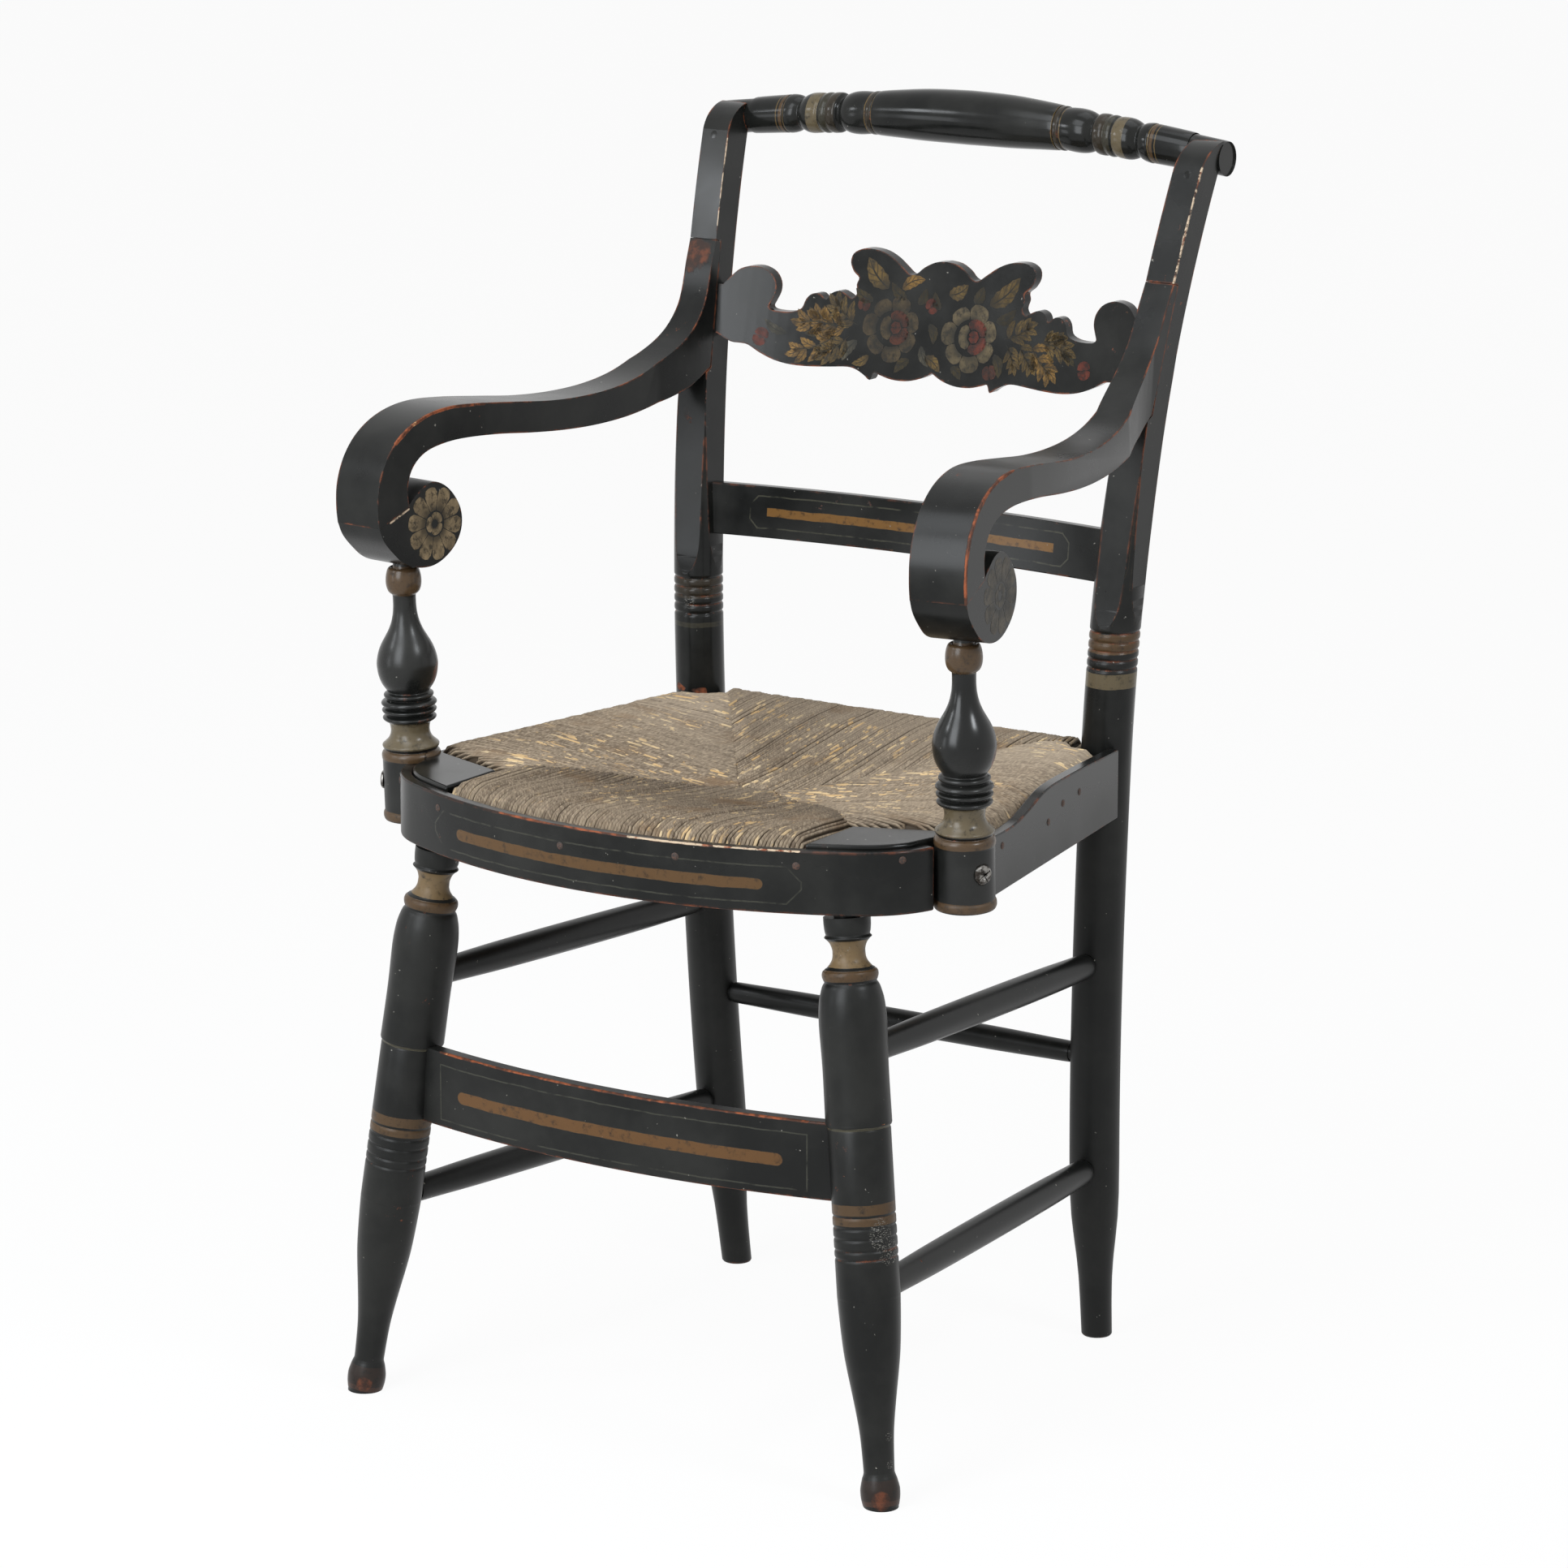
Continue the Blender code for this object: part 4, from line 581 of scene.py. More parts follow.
# Slats: thin boards bent to a hollow and tenoned into the posts. The upper one is cut to a
# scrolled outline, the lower one is plain, with an ochre stripe inside a thin canted line.
SLAT_LOW = 0.6985
SLAT_THICK = 0.0085
SLAT_END = 0.17275
SLAT_REACH = 0.1807
SLAT_OUTLINE = (
    (SLAT_END, 0.0345), (0.1670, 0.0410), (0.1610, 0.0462), (0.1530, 0.0483), (0.1450, 0.0477),
    (0.1375, 0.0440), (0.1330, 0.0375), (0.1325, 0.0305), (0.1350, 0.0240), (0.1362, 0.0205),
    (0.1330, 0.0183), (0.1235, 0.0178), (0.1160, 0.0187), (0.1105, 0.0215), (0.1082, 0.0277),
    (0.1040, 0.0317), (0.0980, 0.0320), (0.0925, 0.0283), (0.0890, 0.0330), (0.0830, 0.0351),
    (0.0765, 0.0327), (0.0722, 0.0305), (0.0688, 0.0345), (0.0700, 0.0405), (0.0688, 0.0453),
    (0.0735, 0.0493), (0.0768, 0.0555), (0.0755, 0.0618), (0.0690, 0.0655), (0.0610, 0.0660),
    (0.0520, 0.0645), (0.0430, 0.0605), (0.0350, 0.0550), (0.0280, 0.0503), (0.0225, 0.0517),
    (0.0175, 0.0560), (0.0090, 0.0603), (0.0000, 0.0615),
)
SLAT_UNDERSIDE = (
    (0.0000, -0.0159), (0.0060, -0.0192), (0.0130, -0.0217), (0.0220, -0.0233), (0.0330, -0.0230),
    (0.0425, -0.0207), (0.0472, -0.0195), (0.0500, -0.0247), (0.0550, -0.0217), (0.0615, -0.0185),
    (0.0690, -0.0170), (0.0820, -0.0179), (0.0980, -0.0189), (0.1130, -0.0187), (0.1270, -0.0163),
    (0.1390, -0.0117), (0.1480, -0.0070), (0.1540, -0.0060), (0.1620, -0.0053), (SLAT_END, 0.0000),
)
SLAT_Y = 0.16645
SLAT_LEAN = 0.2443
SLAT_HOLLOW = 0.0200
LOWER_LOW = 0.5560
LOWER_TALL = 0.0370
LOWER_THICK = 0.0075
LOWER_END = 0.1691
LOWER_Y = 0.14090
LOWER_LEAN = 0.1085
LOWER_HOLLOW = 0.0160


def scored(work, stations):
    """Cuts the faces at these places along x, so that a flat board can be bent."""
    for x in stations:
        geom = [*work.verts, *work.edges, *work.faces]
        bmesh.ops.bisect_plane(work, geom=geom, plane_co=(x, 0.0, 0.0), plane_no=(1.0, 0.0, 0.0))
    return work


def plank(half, tall, cuts):
    """A straight board of this half length and height, scored across for bending."""
    outline = [(-half, 0.0), (half, 0.0), (half, tall), (-half, tall)]
    return scored(sawn(outline), spread(-half, half, cuts)[1:-1])


def bent(work, place, middle=0.0):
    """Bends a flat board, keeping the place on its face: along, up from its middle, and through."""
    board = work.verts.layers.float_vector.new("board")
    for spot in work.verts:
        spot[board] = (spot.co.x, spot.co.y - middle, spot.co.z)
    return laid(work, place)


def slat_y(x, z):
    return SLAT_Y + SLAT_LEAN * (z - SLAT_LOW) + SLAT_HOLLOW * (1 - (x / SLAT_END) ** 2)


def lower_y(x, z):
    return LOWER_Y + LOWER_LEAN * (z - LOWER_LOW) + LOWER_HOLLOW * (1 - (x / SLAT_END) ** 2)


def bar(across, up, half, tall, square):
    """A painted bar with round or square ends."""
    if square:
        side = minus(calc("ABSOLUTE", across), half)
        top = minus(calc("ABSOLUTE", up), tall)
        return ease(most(side, top), 0.0003, -0.0003)
    past = minus(calc("ABSOLUTE", across), half - tall)
    spot = wire(across.id_data, "CombineXYZ", {0: most(past, 0.0), 1: up})
    reach = wire(across.id_data, "VectorMath", {0: spot}, out="Value", operation="LENGTH")
    return ease(reach, tall + 0.0003, tall - 0.0003)


def canted_line(across, up, half, tall, cant, wide):
    """A thin painted line round a panel whose corners are cut across."""
    side = minus(calc("ABSOLUTE", across), half)
    top = minus(calc("ABSOLUTE", up), tall)
    corner = times(plus(plus(side, top), cant), math.sqrt(0.5))
    past = most(most(side, top), corner)
    return ease(calc("ABSOLUTE", past), wide, wide - 0.0003)


def striped(half, tall, line_half, line_tall, cant, drop, line, stripe, square=False):
    """A stripe inside a thin line, on the front of a bent board."""

    def decoration(tree, place):
        across, height, through = parted(wire(tree, "Attribute", out="Vector", attribute_name="board"))
        shaky = times(minus(speckle(place, 45.0), 0.5), 0.0022)
        up = plus(plus(height, drop), shaky)
        front = ease(through, -0.80, -0.95)
        stroke = bar(across, up, half, tall, square)
        edging = canted_line(across, up, line_half, line_tall, cant, 0.00065)
        broken = ease(speckle(place, 55.0, 3.0), 0.34, 0.52)
        edging = times(edging, broken)
        shown = times(most(stroke, edging), front)
        return over(stroke, line, stripe), shown

    return decoration


slat_right = [(SLAT_REACH, 0.0), (SLAT_REACH, 0.0345), *smooth(SLAT_OUTLINE, 3)]
slat_left = [(-x, z) for x, z in reversed(slat_right[:-1])]
slat_under = smooth(SLAT_UNDERSIDE, 3)
slat_line = [*slat_right, *slat_left, *[(-x, z) for x, z in reversed(slat_under[1:])], *slat_under]
slat_blank = scored(sawn(slat_line), spread(-0.176, 0.176, 44))


def bend_slat(u, v, w):
    return Vector((u, slat_y(u, SLAT_LOW + v) + SLAT_THICK / 2 * w, SLAT_LOW + v))


def bend_lower(u, v, w):
    return Vector((u, lower_y(u, LOWER_LOW + v) + LOWER_THICK / 2 * w, LOWER_LOW + v))


slat_paint = black_paint("slat_black_paint", rubbed=0.66, gloss=0.20)
set_piece(
    bent(slat_blank, bend_slat), "finished_shaped_slat", slat_paint, "stencilled_black", "shaped_slat",
    eased=0.0009)
lower_blank = plank(LOWER_END, LOWER_TALL, 36)
LINE_GREEN = (0.0480, 0.0470, 0.0340, 1.0)
OCHRE = (0.1550, 0.0760, 0.0210, 1.0)
lower_paint = black_paint(
    "lower_slat_black_paint",
    striped(0.1198, 0.0031, 0.1330, 0.0115, 0.0060, 0.0, LINE_GREEN, OCHRE, square=True),
    rubbed=0.5,
)
set_piece(
    bent(lower_blank, bend_lower, LOWER_TALL / 2), "finished_lower_slat", lower_paint, "black_paint",
    "lower_slat", eased=0.0010)

# Stencilling on the upper slat: thin bronze-powder and glaze films of two roses, sprays of
# leaves and buds, laid through cut paper on the black and worn thin in the middle.
FILM = 0.00008
GOLD = (0.2000, 0.1150, 0.0340)
OLD_GOLD = (0.1150, 0.0760, 0.0280)
DARK_LEAF = (0.0440, 0.0340, 0.0170)
KHAKI = (0.1030, 0.0820, 0.0500)
DULL_KHAKI = (0.0600, 0.0460, 0.0290)
GREY_LEAF = (0.0800, 0.0720, 0.0520)
FADED_RED = (0.1000, 0.0280, 0.0200)
DULL_RED = (0.0640, 0.0260, 0.0190)
LEAF_GRID = (10, 6)
SPRIG_LEAVES = ((0.16, 44), (0.22, -46), (0.42, 40), (0.48, -42), (0.66, 34), (0.70, -36), (0.76, 0))


def ranged(value, low, high):
    return wire(value.id_data, "MapRange", {"Value": value, "To Min": low, "To Max": high})


def film(place):
    """Starts a set of paint films, each a small patch laid by its own place function."""
    work = bmesh.new()
    work.verts.layers.float_vector.new("stroke")
    work.verts.layers.float_vector.new("tint")
    return work, place


def add_patch(films, shape, tint, seed):
    """One patch: shape gives its flat place from the share along it and the share across it."""
    work, place = films
    stroke = work.verts.layers.float_vector["stroke"]
    colour = work.verts.layers.float_vector["tint"]
    made = bmesh.ops.create_grid(work, x_segments=LEAF_GRID[0], y_segments=LEAF_GRID[1], size=1.0)["verts"]
    for spot in made:
        t, side = (spot.co.x + 1) / 2, spot.co.y
        spot[stroke] = (t, side, seed)
        spot[colour] = tint
        spot.co = place(*shape(t, side))


def leaf(films, root, tip, wide, tint, seed, bend=0.15):
    run = Vector(tip) - Vector(root)
    side_run = Vector((-run.y, run.x)).normalized()

    def shape(t, side):
        full = math.sin(math.pi * min(t ** 0.80, 1.0)) ** 0.75 + 0.02
        frill = 1 + 0.10 * math.sin(26.0 * t) * abs(side)
        off = side * wide / 2 * full * frill + bend * run.length * math.sin(math.pi * t)
        return Vector(root) + run * t + side_run * off

    add_patch(films, shape, tint, seed)


def sprig(films, root, tip, tint, seed, bend):
    """Seven small leaves set in pairs along a stem, the last at its end."""
    run = Vector(tip) - Vector(root)
    side_run = Vector((-run.y, run.x))
    small = min(0.55 * run.length, 0.0165)
    for k, (t, turn) in enumerate(SPRIG_LEAVES):
        stem = Vector(root) + run * t + side_run * bend * math.sin(math.pi * t)
        angle = math.atan2(run.y, run.x) + math.radians(turn)
        end = stem + Vector((math.cos(angle), math.sin(angle))) * small * (1.0 - 0.3 * t)
        leaf(films, stem, end, small * 0.36, tint, seed + k / 8, 0.10)
    leaf(films, root, tip, 0.0009, DARK_LEAF, seed, bend)


def petal(films, middle, near, far, turn, wide, tint, seed):
    """A rose petal: a rounded patch from near to far out, wide degrees across."""

    def shape(t, side):
        angle = math.radians(turn + side * wide / 2 * (0.90 + 0.10 * math.sin(math.pi * t)))
        reach = near + (far * (1 - 0.14 * side ** 4) - near) * t
        return Vector(middle) + Vector((math.cos(angle), math.sin(angle))) * reach

    add_patch(films, shape, tint, seed)


def set_films(films, name, material, inward, slot):
    """Thickens the films into what they are laid on, so that they are closed."""
    work, _ = films
    bmesh.ops.recalc_face_normals(work, faces=work.faces)
    for face in work.faces:
        if face.normal.dot(inward) > 0:
            face.normal_flip()
    bmesh.ops.solidify(work, geom=work.faces, thickness=FILM * 2)
    return set_piece(work, name, material, slot)


def stencil_paint(name):
    """Bronze powder on black: dark ribs and veins, a dark root, and worn specks."""
    made, tree, shader = new_material(name)
    place = wire(tree, "TexCoord", out="Object")
    tint = wire(tree, "Attribute", out="Color", attribute_name="tint")
    t, side, seed = parted(wire(tree, "Attribute", out="Vector", attribute_name="stroke"))
    off_rib = calc("ABSOLUTE", side)
    rib = ease(off_rib, 0.16, 0.04)
    slant = minus(times(t, 30.0), times(off_rib, 8.0))
    vein = ease(calc("SINE", plus(slant, seed)), 0.35, 0.95)
    dark = most(rib, times(vein, 0.65))
    leafy = calc("LESS_THAN", seed, 50.0)
    dark = times(dark, leafy)
    root = ease(t, 0.55, 0.0)
    dark = most(dark, times(root, 0.75))
    worn = ease(speckle(place, 190.0, 6.0, 0.75), 0.46, 0.62)
    dark = most(dark, times(worn, 0.80))
    mottle = ease(speckle(place, 85.0, 4.0), 0.30, 0.72)
    bright = over(mottle, (0.45, 0.45, 0.45, 1.0), (1.15, 1.12, 1.05, 1.0))
    colour = wire(tree, "Mix", {0: 1.0, 6: tint, 7: bright}, out=2, data_type="RGBA", blend_type="MULTIPLY")
    colour = over(dark, colour, BLACK_FADED)
    coat(shader, colour, ranged(mottle, 0.40, 0.24), mottle, 0.0002, 0.4)
    shader.inputs["Specular IOR Level"].default_value = 0.12
    return made


def on_slat(x, z):
    return Vector((x, slat_y(x, SLAT_LOW + z) - SLAT_THICK / 2 - FILM, SLAT_LOW + z))


stencil = film(on_slat)
ROSES = (((-0.0375, 0.0120), 0.0235, DULL_RED, DULL_KHAKI), ((0.0275, 0.0110), 0.0240, FADED_RED, KHAKI))
for rose, (heart, size, red, outer) in enumerate(ROSES):
    middle = Vector(heart) + Vector((0.0030, 0.0010))
    for k in range(7):
        far = size * (0.94 + 0.06 * (k % 2))
        petal(stencil, heart, size * 0.54, far, 20 + 51.4 * k, 50.8, outer, 60 + 7 * rose + k)
    for k in range(3):
        glaze = outer if k == 1 else red
        petal(stencil, middle, size * 0.22, size * 0.52, 65 + 120 * k, 117, glaze, 80 + 4 * rose + k)
    petal(stencil, middle, 0.0003, size * 0.20, 0, 355, red, 90 + rose)
LEAVES = (
    ((-0.0440, 0.0395), (-0.0630, 0.0600), 0.0130, OLD_GOLD, 0.08),
    ((-0.0330, 0.0400), (-0.0150, 0.0480), 0.0085, GOLD, 0.12),
    ((0.0060, 0.0390), (0.0210, 0.0470), 0.0100, OLD_GOLD, -0.12),
    ((0.0410, 0.0345), (0.0640, 0.0560), 0.0125, OLD_GOLD, -0.08),
    ((-0.0640, 0.0120), (-0.0850, 0.0310), 0.0100, OLD_GOLD, 0.10),
    ((-0.0700, 0.0110), (-0.1010, 0.0210), 0.0085, GOLD, 0.12),
    ((-0.0760, 0.0085), (-0.1150, 0.0105), 0.0090, GOLD, -0.08),
    ((-0.0780, 0.0065), (-0.1180, -0.0080), 0.0085, GOLD, 0.10),
    ((-0.0700, 0.0050), (-0.0940, -0.0095), 0.0095, OLD_GOLD, 0.08),
    ((-0.0640, 0.0020), (-0.0740, -0.0130), 0.0080, GREY_LEAF, -0.10),
    ((-0.1200, 0.0030), (-0.1380, 0.0120), 0.0060, GREY_LEAF, 0.10),
    ((0.0560, 0.0130), (0.0790, 0.0260), 0.0100, OLD_GOLD, -0.10),
    ((0.0590, 0.0095), (0.0670, -0.0085), 0.0105, OLD_GOLD, 0.10),
    ((0.0700, 0.0120), (0.0850, -0.0050), 0.0095, OLD_GOLD, -0.08),
    ((0.0790, 0.0130), (0.1030, -0.0080), 0.0115, GOLD, -0.08),
    ((0.0860, 0.0130), (0.1150, 0.0060), 0.0080, OLD_GOLD, 0.10),
    ((0.0900, 0.0150), (0.1080, 0.0200), 0.0070, OLD_GOLD, -0.10),
    ((-0.0080, -0.0050), (0.0060, -0.0145), 0.0080, OLD_GOLD, 0.10),
    ((-0.0120, 0.0020), (-0.0040, -0.0120), 0.0060, GREY_LEAF, -0.10),
    ((-0.0530, -0.0080), (-0.0660, -0.0145), 0.0060, OLD_GOLD, 0.12),
    ((-0.0280, 0.0330), (-0.0420, 0.0440), 0.0070, DARK_LEAF, 0.10),
    ((-0.0180, 0.0300), (-0.0130, 0.0420), 0.0070, DARK_LEAF, -0.10),
    ((0.0000, 0.0280), (-0.0060, 0.0400), 0.0065, DARK_LEAF, 0.10),
    ((0.0280, 0.0350), (0.0340, 0.0470), 0.0085, DARK_LEAF, -0.10),
    ((0.0480, 0.0240), (0.0640, 0.0340), 0.0080, DARK_LEAF, -0.12),
    ((0.0500, 0.0020), (0.0560, -0.0140), 0.0080, DARK_LEAF, 0.10),
    ((-0.0070, 0.0180), (-0.0020, 0.0040), 0.0070, DARK_LEAF, 0.12),
    ((-0.0550, 0.0300), (-0.0700, 0.0380), 0.0075, DARK_LEAF, 0.10),
    ((-0.0200, -0.0080), (-0.0310, -0.0180), 0.0070, DARK_LEAF, -0.10),
    ((0.0150, -0.0100), (0.0240, -0.0180), 0.0065, DARK_LEAF, 0.10),
    ((0.1080, 0.0080), (0.1200, 0.0010), 0.0055, DARK_LEAF, 0.10),
    ((-0.0930, 0.0080), (-0.1060, 0.0040), 0.0055, DARK_LEAF, 0.10),
)
for k, (root, tip_end, wide, tint, curl) in enumerate(LEAVES):
    if abs(root[0]) > 0.055 and tint in (GOLD, OLD_GOLD):
        sprig(stencil, root, tip_end, tint, k, curl)
    else:
        leaf(stencil, root, tip_end, wide, tint, k, curl)
BUDS = (
    (-0.1395, -0.0005, 0.0066), (0.1290, -0.0010, 0.0066), (-0.0070, 0.0300, 0.0056),
    (-0.0620, 0.0270, 0.0050), (0.0475, -0.0110, 0.0060),
)
for k, (x, z, size) in enumerate(BUDS):
    glaze = DULL_RED if k > 2 else FADED_RED
    for turn in (70, 250):
        petal(stencil, (x, z), 0.0003, size, turn + 31 * k, 172, glaze, 100 + 2 * k + turn / 400)
stencil_bronze = stencil_paint("bronze_stencil")
set_films(stencil, "slat_stencil", stencil_bronze, Vector((0.0, 1.0, 0.0)), "stencilled_black")

# Front legs: turned with a cove and bead under the seat, a long barrel, bronzed scratch rings
# and a ball foot, splayed out and tenoned up into the corner blocks.
LEG_FOOT_AT = Vector((0.21392, -0.22289, 0.0))
LEG_TOP_AT = Vector((0.16799, -0.19338, 0.3760))
LEG_SHOULDER = 0.3952
LEG_TENON = 0.0330
LEG_TOP = (
    (0.0157, 0.0000), (0.0157, 0.0030), (0.0156, 0.0060), (0.0152, 0.0098), (0.0147, 0.0116),
    (0.0147, 0.0122), (0.0157, 0.0134), (0.0157, 0.0140), (0.0141, 0.0154), (0.0122, 0.0180),
    (0.0110, 0.0217), (0.0109, 0.0245), (0.0112, 0.0275), (0.0125, 0.0305), (0.0152, 0.0338),
    (0.0166, 0.0346), (0.0170, 0.0352), (0.0181, 0.0360), (0.0187, 0.0376), (0.0187, 0.0396),
    (0.0181, 0.0416), (0.0174, 0.0431), (0.0176, 0.0438), (0.0188, 0.0456), (0.0200, 0.0490),
    (0.0217, 0.0567), (0.0226, 0.0712), (0.0219, 0.1002), (0.0221, 0.1342), (0.0221, 0.1370),
    (0.0217, 0.1388), (0.0208, 0.1394), (0.0207, 0.1402), (0.0211, 0.1414),
)
LEG_LOW = (
    (0.0211, 0.2100), (0.0211, 0.1480), (0.0210, 0.1400), (0.0202, 0.1230), (0.0190, 0.1060),
    (0.0174, 0.0930), (0.0150, 0.0770), (0.0126, 0.0600), (0.0112, 0.0460), (0.0104, 0.0260),
    (0.0106, 0.0222), (0.0117, 0.0190), (0.0130, 0.0135), (0.0133, 0.0105), (0.0131, 0.0060),
    (0.0122, 0.0012), (0.0118, 0.0000), (0.0118, -0.0060),
)
LEG_RINGS = (0.1970, 0.1896, 0.1822, 0.1744, 0.1686)
LEG_RING_HALF = 0.0009
LEG_RING_DEPTH = 0.0008
LEG_TENON_R = 0.0088
leg_rows = [(LEG_TENON_R, LEG_SHOULDER + LEG_TENON), (LEG_TENON_R, LEG_SHOULDER)]
leg_rows += [(r, LEG_SHOULDER - drop) for r, drop in smooth(LEG_TOP, 4)]
leg_low = [(z, r) for r, z in reversed(smooth(LEG_LOW, 5))]


def leg_radius(z):
    ring = sum(math.exp(-((z - height) / LEG_RING_HALF) ** 2) for height in LEG_RINGS)
    return between_rows(leg_low, z)[0] - LEG_RING_DEPTH * ring


leg_heights = spread(0.2080, 0.1640, 90) + spread(0.1630, 0.1550, 4)
leg_heights += [z for z, _ in reversed(leg_low) if z < 0.1545]
leg_rows += [(leg_radius(z), z) for z in leg_heights]
leg_shape = stood(turned(leg_rows, TURNED_STEPS), LEG_FOOT_AT, LEG_TOP_AT - LEG_FOOT_AT)
leg_geom = [*leg_shape.verts, *leg_shape.edges, *leg_shape.faces]
bmesh.ops.bisect_plane(
    leg_shape, geom=leg_geom, plane_co=(0.0, 0.0, 0.0), plane_no=(0.0, 0.0, -1.0), clear_outer=True)
foot_edges = [edge for edge in leg_shape.edges if edge.is_boundary]
bmesh.ops.holes_fill(leg_shape, edges=foot_edges, sides=0)
FOOT_BROWN = (0.0480, 0.0260, 0.0190, 1.0)
FOOT_DARK = (0.0230, 0.0160, 0.0130, 1.0)
FAINT_LINE = (0.0620, 0.0560, 0.0370, 1.0)
LEG_OLIVE = (0.1500, 0.1020, 0.0520, 1.0)
leg_paint = black_paint(
    "leg_black_paint",
    bands(
        0.45, (-0.01, 0.0050, FOOT_BROWN), (0.0050, 0.0180, FOOT_DARK), (0.1372, 0.1381, FAINT_LINE),
        (0.1900, 0.1965, BRONZE), (0.1972, 0.2045, BRONZE), (0.2535, 0.2552, FAINT_LINE),
        (0.3380, 0.3389, FAINT_LINE), (0.3521, 0.3602, BRONZE), (0.3607, 0.3780, LEG_OLIVE)),
    rubbed=0.30,
    rubs=((0.2210, -0.2338, 0.0070, 0.0070), (-0.2068, -0.2338, 0.0070, 0.0070)),
    scuffs_and_glints=(
        (0.2110, -0.2180, 0.1860, 0.0110), (0.2120, -0.2120, 0.1740, 0.0090),
        (0.2207, -0.2219, 0.0500, 0.0036), (0.2210, -0.2225, 0.0300, 0.0036)),
)
set_pair(leg_shape, "front_leg", leg_paint)

# Round stretchers: shaved rods, a little fuller in the middle, driven into holes in the legs
# and posts and painted with the rest.
STRETCHERS = (
    ("right_upper_side_stretcher", (0.1770, -0.1874, 0.2985), (0.1656, 0.1301, 0.2844), 0.0104),
    ("right_lower_side_stretcher", (0.1955, -0.1999, 0.1405), (0.1609, 0.1381, 0.1312), 0.0104),
    ("left_upper_side_stretcher", (-0.1770, -0.1874, 0.2985), (-0.1656, 0.1301, 0.2844), 0.0104),
    ("left_lower_side_stretcher", (-0.1955, -0.1999, 0.1405), (-0.1609, 0.1381, 0.1312), 0.0104),
    ("back_stretcher", (-0.1549, 0.1407, 0.2140), (0.1549, 0.1407, 0.2140), 0.0088),
)
ROD_SHARES = (
    (0.000, 0.66), (0.036, 0.72), (0.040, 0.86), (0.10, 0.90), (0.22, 0.97), (0.36, 1.00),
    (0.50, 1.01),
)
stretcher_paint = black_paint("stretcher_black_paint", rubbed=0.2)
rod_half = smooth(ROD_SHARES, 4)
for stretcher, rod_start, rod_end, rod_r in STRETCHERS:
    rod_run = Vector(rod_end) - Vector(rod_start)
    rod_line = [(rod_r * r, rod_run.length * (1 - t)) for t, r in rod_half]
    rod_line += [(rod_r * r, rod_run.length * t) for t, r in reversed(rod_half[:-1])]
    rod_shape = stood(turned(rod_line, ROD_STEPS), Vector(rod_start), rod_run)
    set_piece(rod_shape, "finished_" + stretcher, stretcher_paint, "black_paint", stretcher)

# Front stretcher: a flat board bowed forward, with its ends let into the legs. A brown stripe
# runs along it inside a thin line, and its top edge is rubbed by heels.
BOARD_LOW = 0.2000
BOARD_TALL = 0.0537
BOARD_THICK = 0.0105
BOARD_END = 0.1737
BOARD_SHOULDER = 0.1657
BOARD_Y = -0.2063
BOARD_BOW = 0.0200
BOARD_WEAR = (-0.15, -0.09, -0.03, 0.03, 0.09, 0.15)
STRIPE_BROWN = (0.1080, 0.0520, 0.0180, 1.0)
THIN_GREY = (0.0380, 0.0380, 0.0295, 1.0)


def bend_board(u, v, w):
    y = BOARD_Y - BOARD_BOW * (1 - (u / BOARD_SHOULDER) ** 2)
    return Vector((u, y + BOARD_THICK / 2 * w, BOARD_LOW + v))


board_blank = plank(BOARD_END, BOARD_TALL, 40)
kicked_edge = [bend_board(u, BOARD_TALL, -1.0) for u in BOARD_WEAR]
chipped_edge = [bend_board(u, 0.0, -1.0) for u in BOARD_WEAR]
board_paint = black_paint(
    "front_stretcher_black_paint",
    striped(0.1330, 0.0044, 0.1500, 0.0195, 0.0002, 0.0020, THIN_GREY, STRIPE_BROWN),
    rubbed=0.62,
    rub_lines=stretches_along(kicked_edge, 0.0013) + stretches_along(chipped_edge, 0.0008),
)
set_piece(
    bent(board_blank, bend_board, BOARD_TALL / 2), "finished_front_stretcher", board_paint, "black_paint",
    "front_stretcher", eased=0.0012)

# Seat rails: bare rods that the rush is wound over, tenoned into the posts and corner blocks.
# Plain wood, hidden by the rush.
def mottled(name, grain, shades, dark, pale, rough, deep, stretch=(1.0, 1.0, 1.0), metal=0.0):
    """A plain finish that goes from one colour to another in streaks or specks."""
    made, tree, shader = new_material(name)
    place = wire(tree, "Mapping", {"Vector": wire(tree, "TexCoord", out="Object"), "Scale": stretch})
    speck = speckle(place, *grain)
    colour = over(ease(speck, *shades), dark, pale)
    coat(shader, colour, ranged(speck, *rough), speck, deep)
    shader.inputs["Metallic"].default_value = metal
    return made


bare_wood = mottled(
    "bare_rail_wood", (3.0, 6.0), (0.35, 0.65), (0.210, 0.130, 0.070, 1.0), (0.360, 0.240, 0.140, 1.0),
    (0.62, 0.84), 0.0003, stretch=(14.0, 90.0, 90.0))
for rail in ("front_seat_rail", "back_seat_rail", "left_seat_rail", "right_seat_rail"):
    rail_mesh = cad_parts[rail].data
    rail_mesh.materials.clear()
    rail_mesh.materials.append(bare_wood)

# Corner blocks: solid blocks at the front corners that hold the legs, rails and arm posts, with
# their top edges planed off, flush inside the trim and painted black.
BOW_R = 0.3900
BOW_Y = 0.1413
CORNER_FROM = 0.47973
CORNER_TO = math.radians(74.0)
CORNER_R = 0.0700
CORNER_MID = (0.14769, -0.14258)
TRIM_THICK = 0.0085
BLOCK_FROM = 0.3899
BLOCK_TO = math.radians(62.0)
BLOCK_LOW = 0.3943
BLOCK_TALL = 0.0465


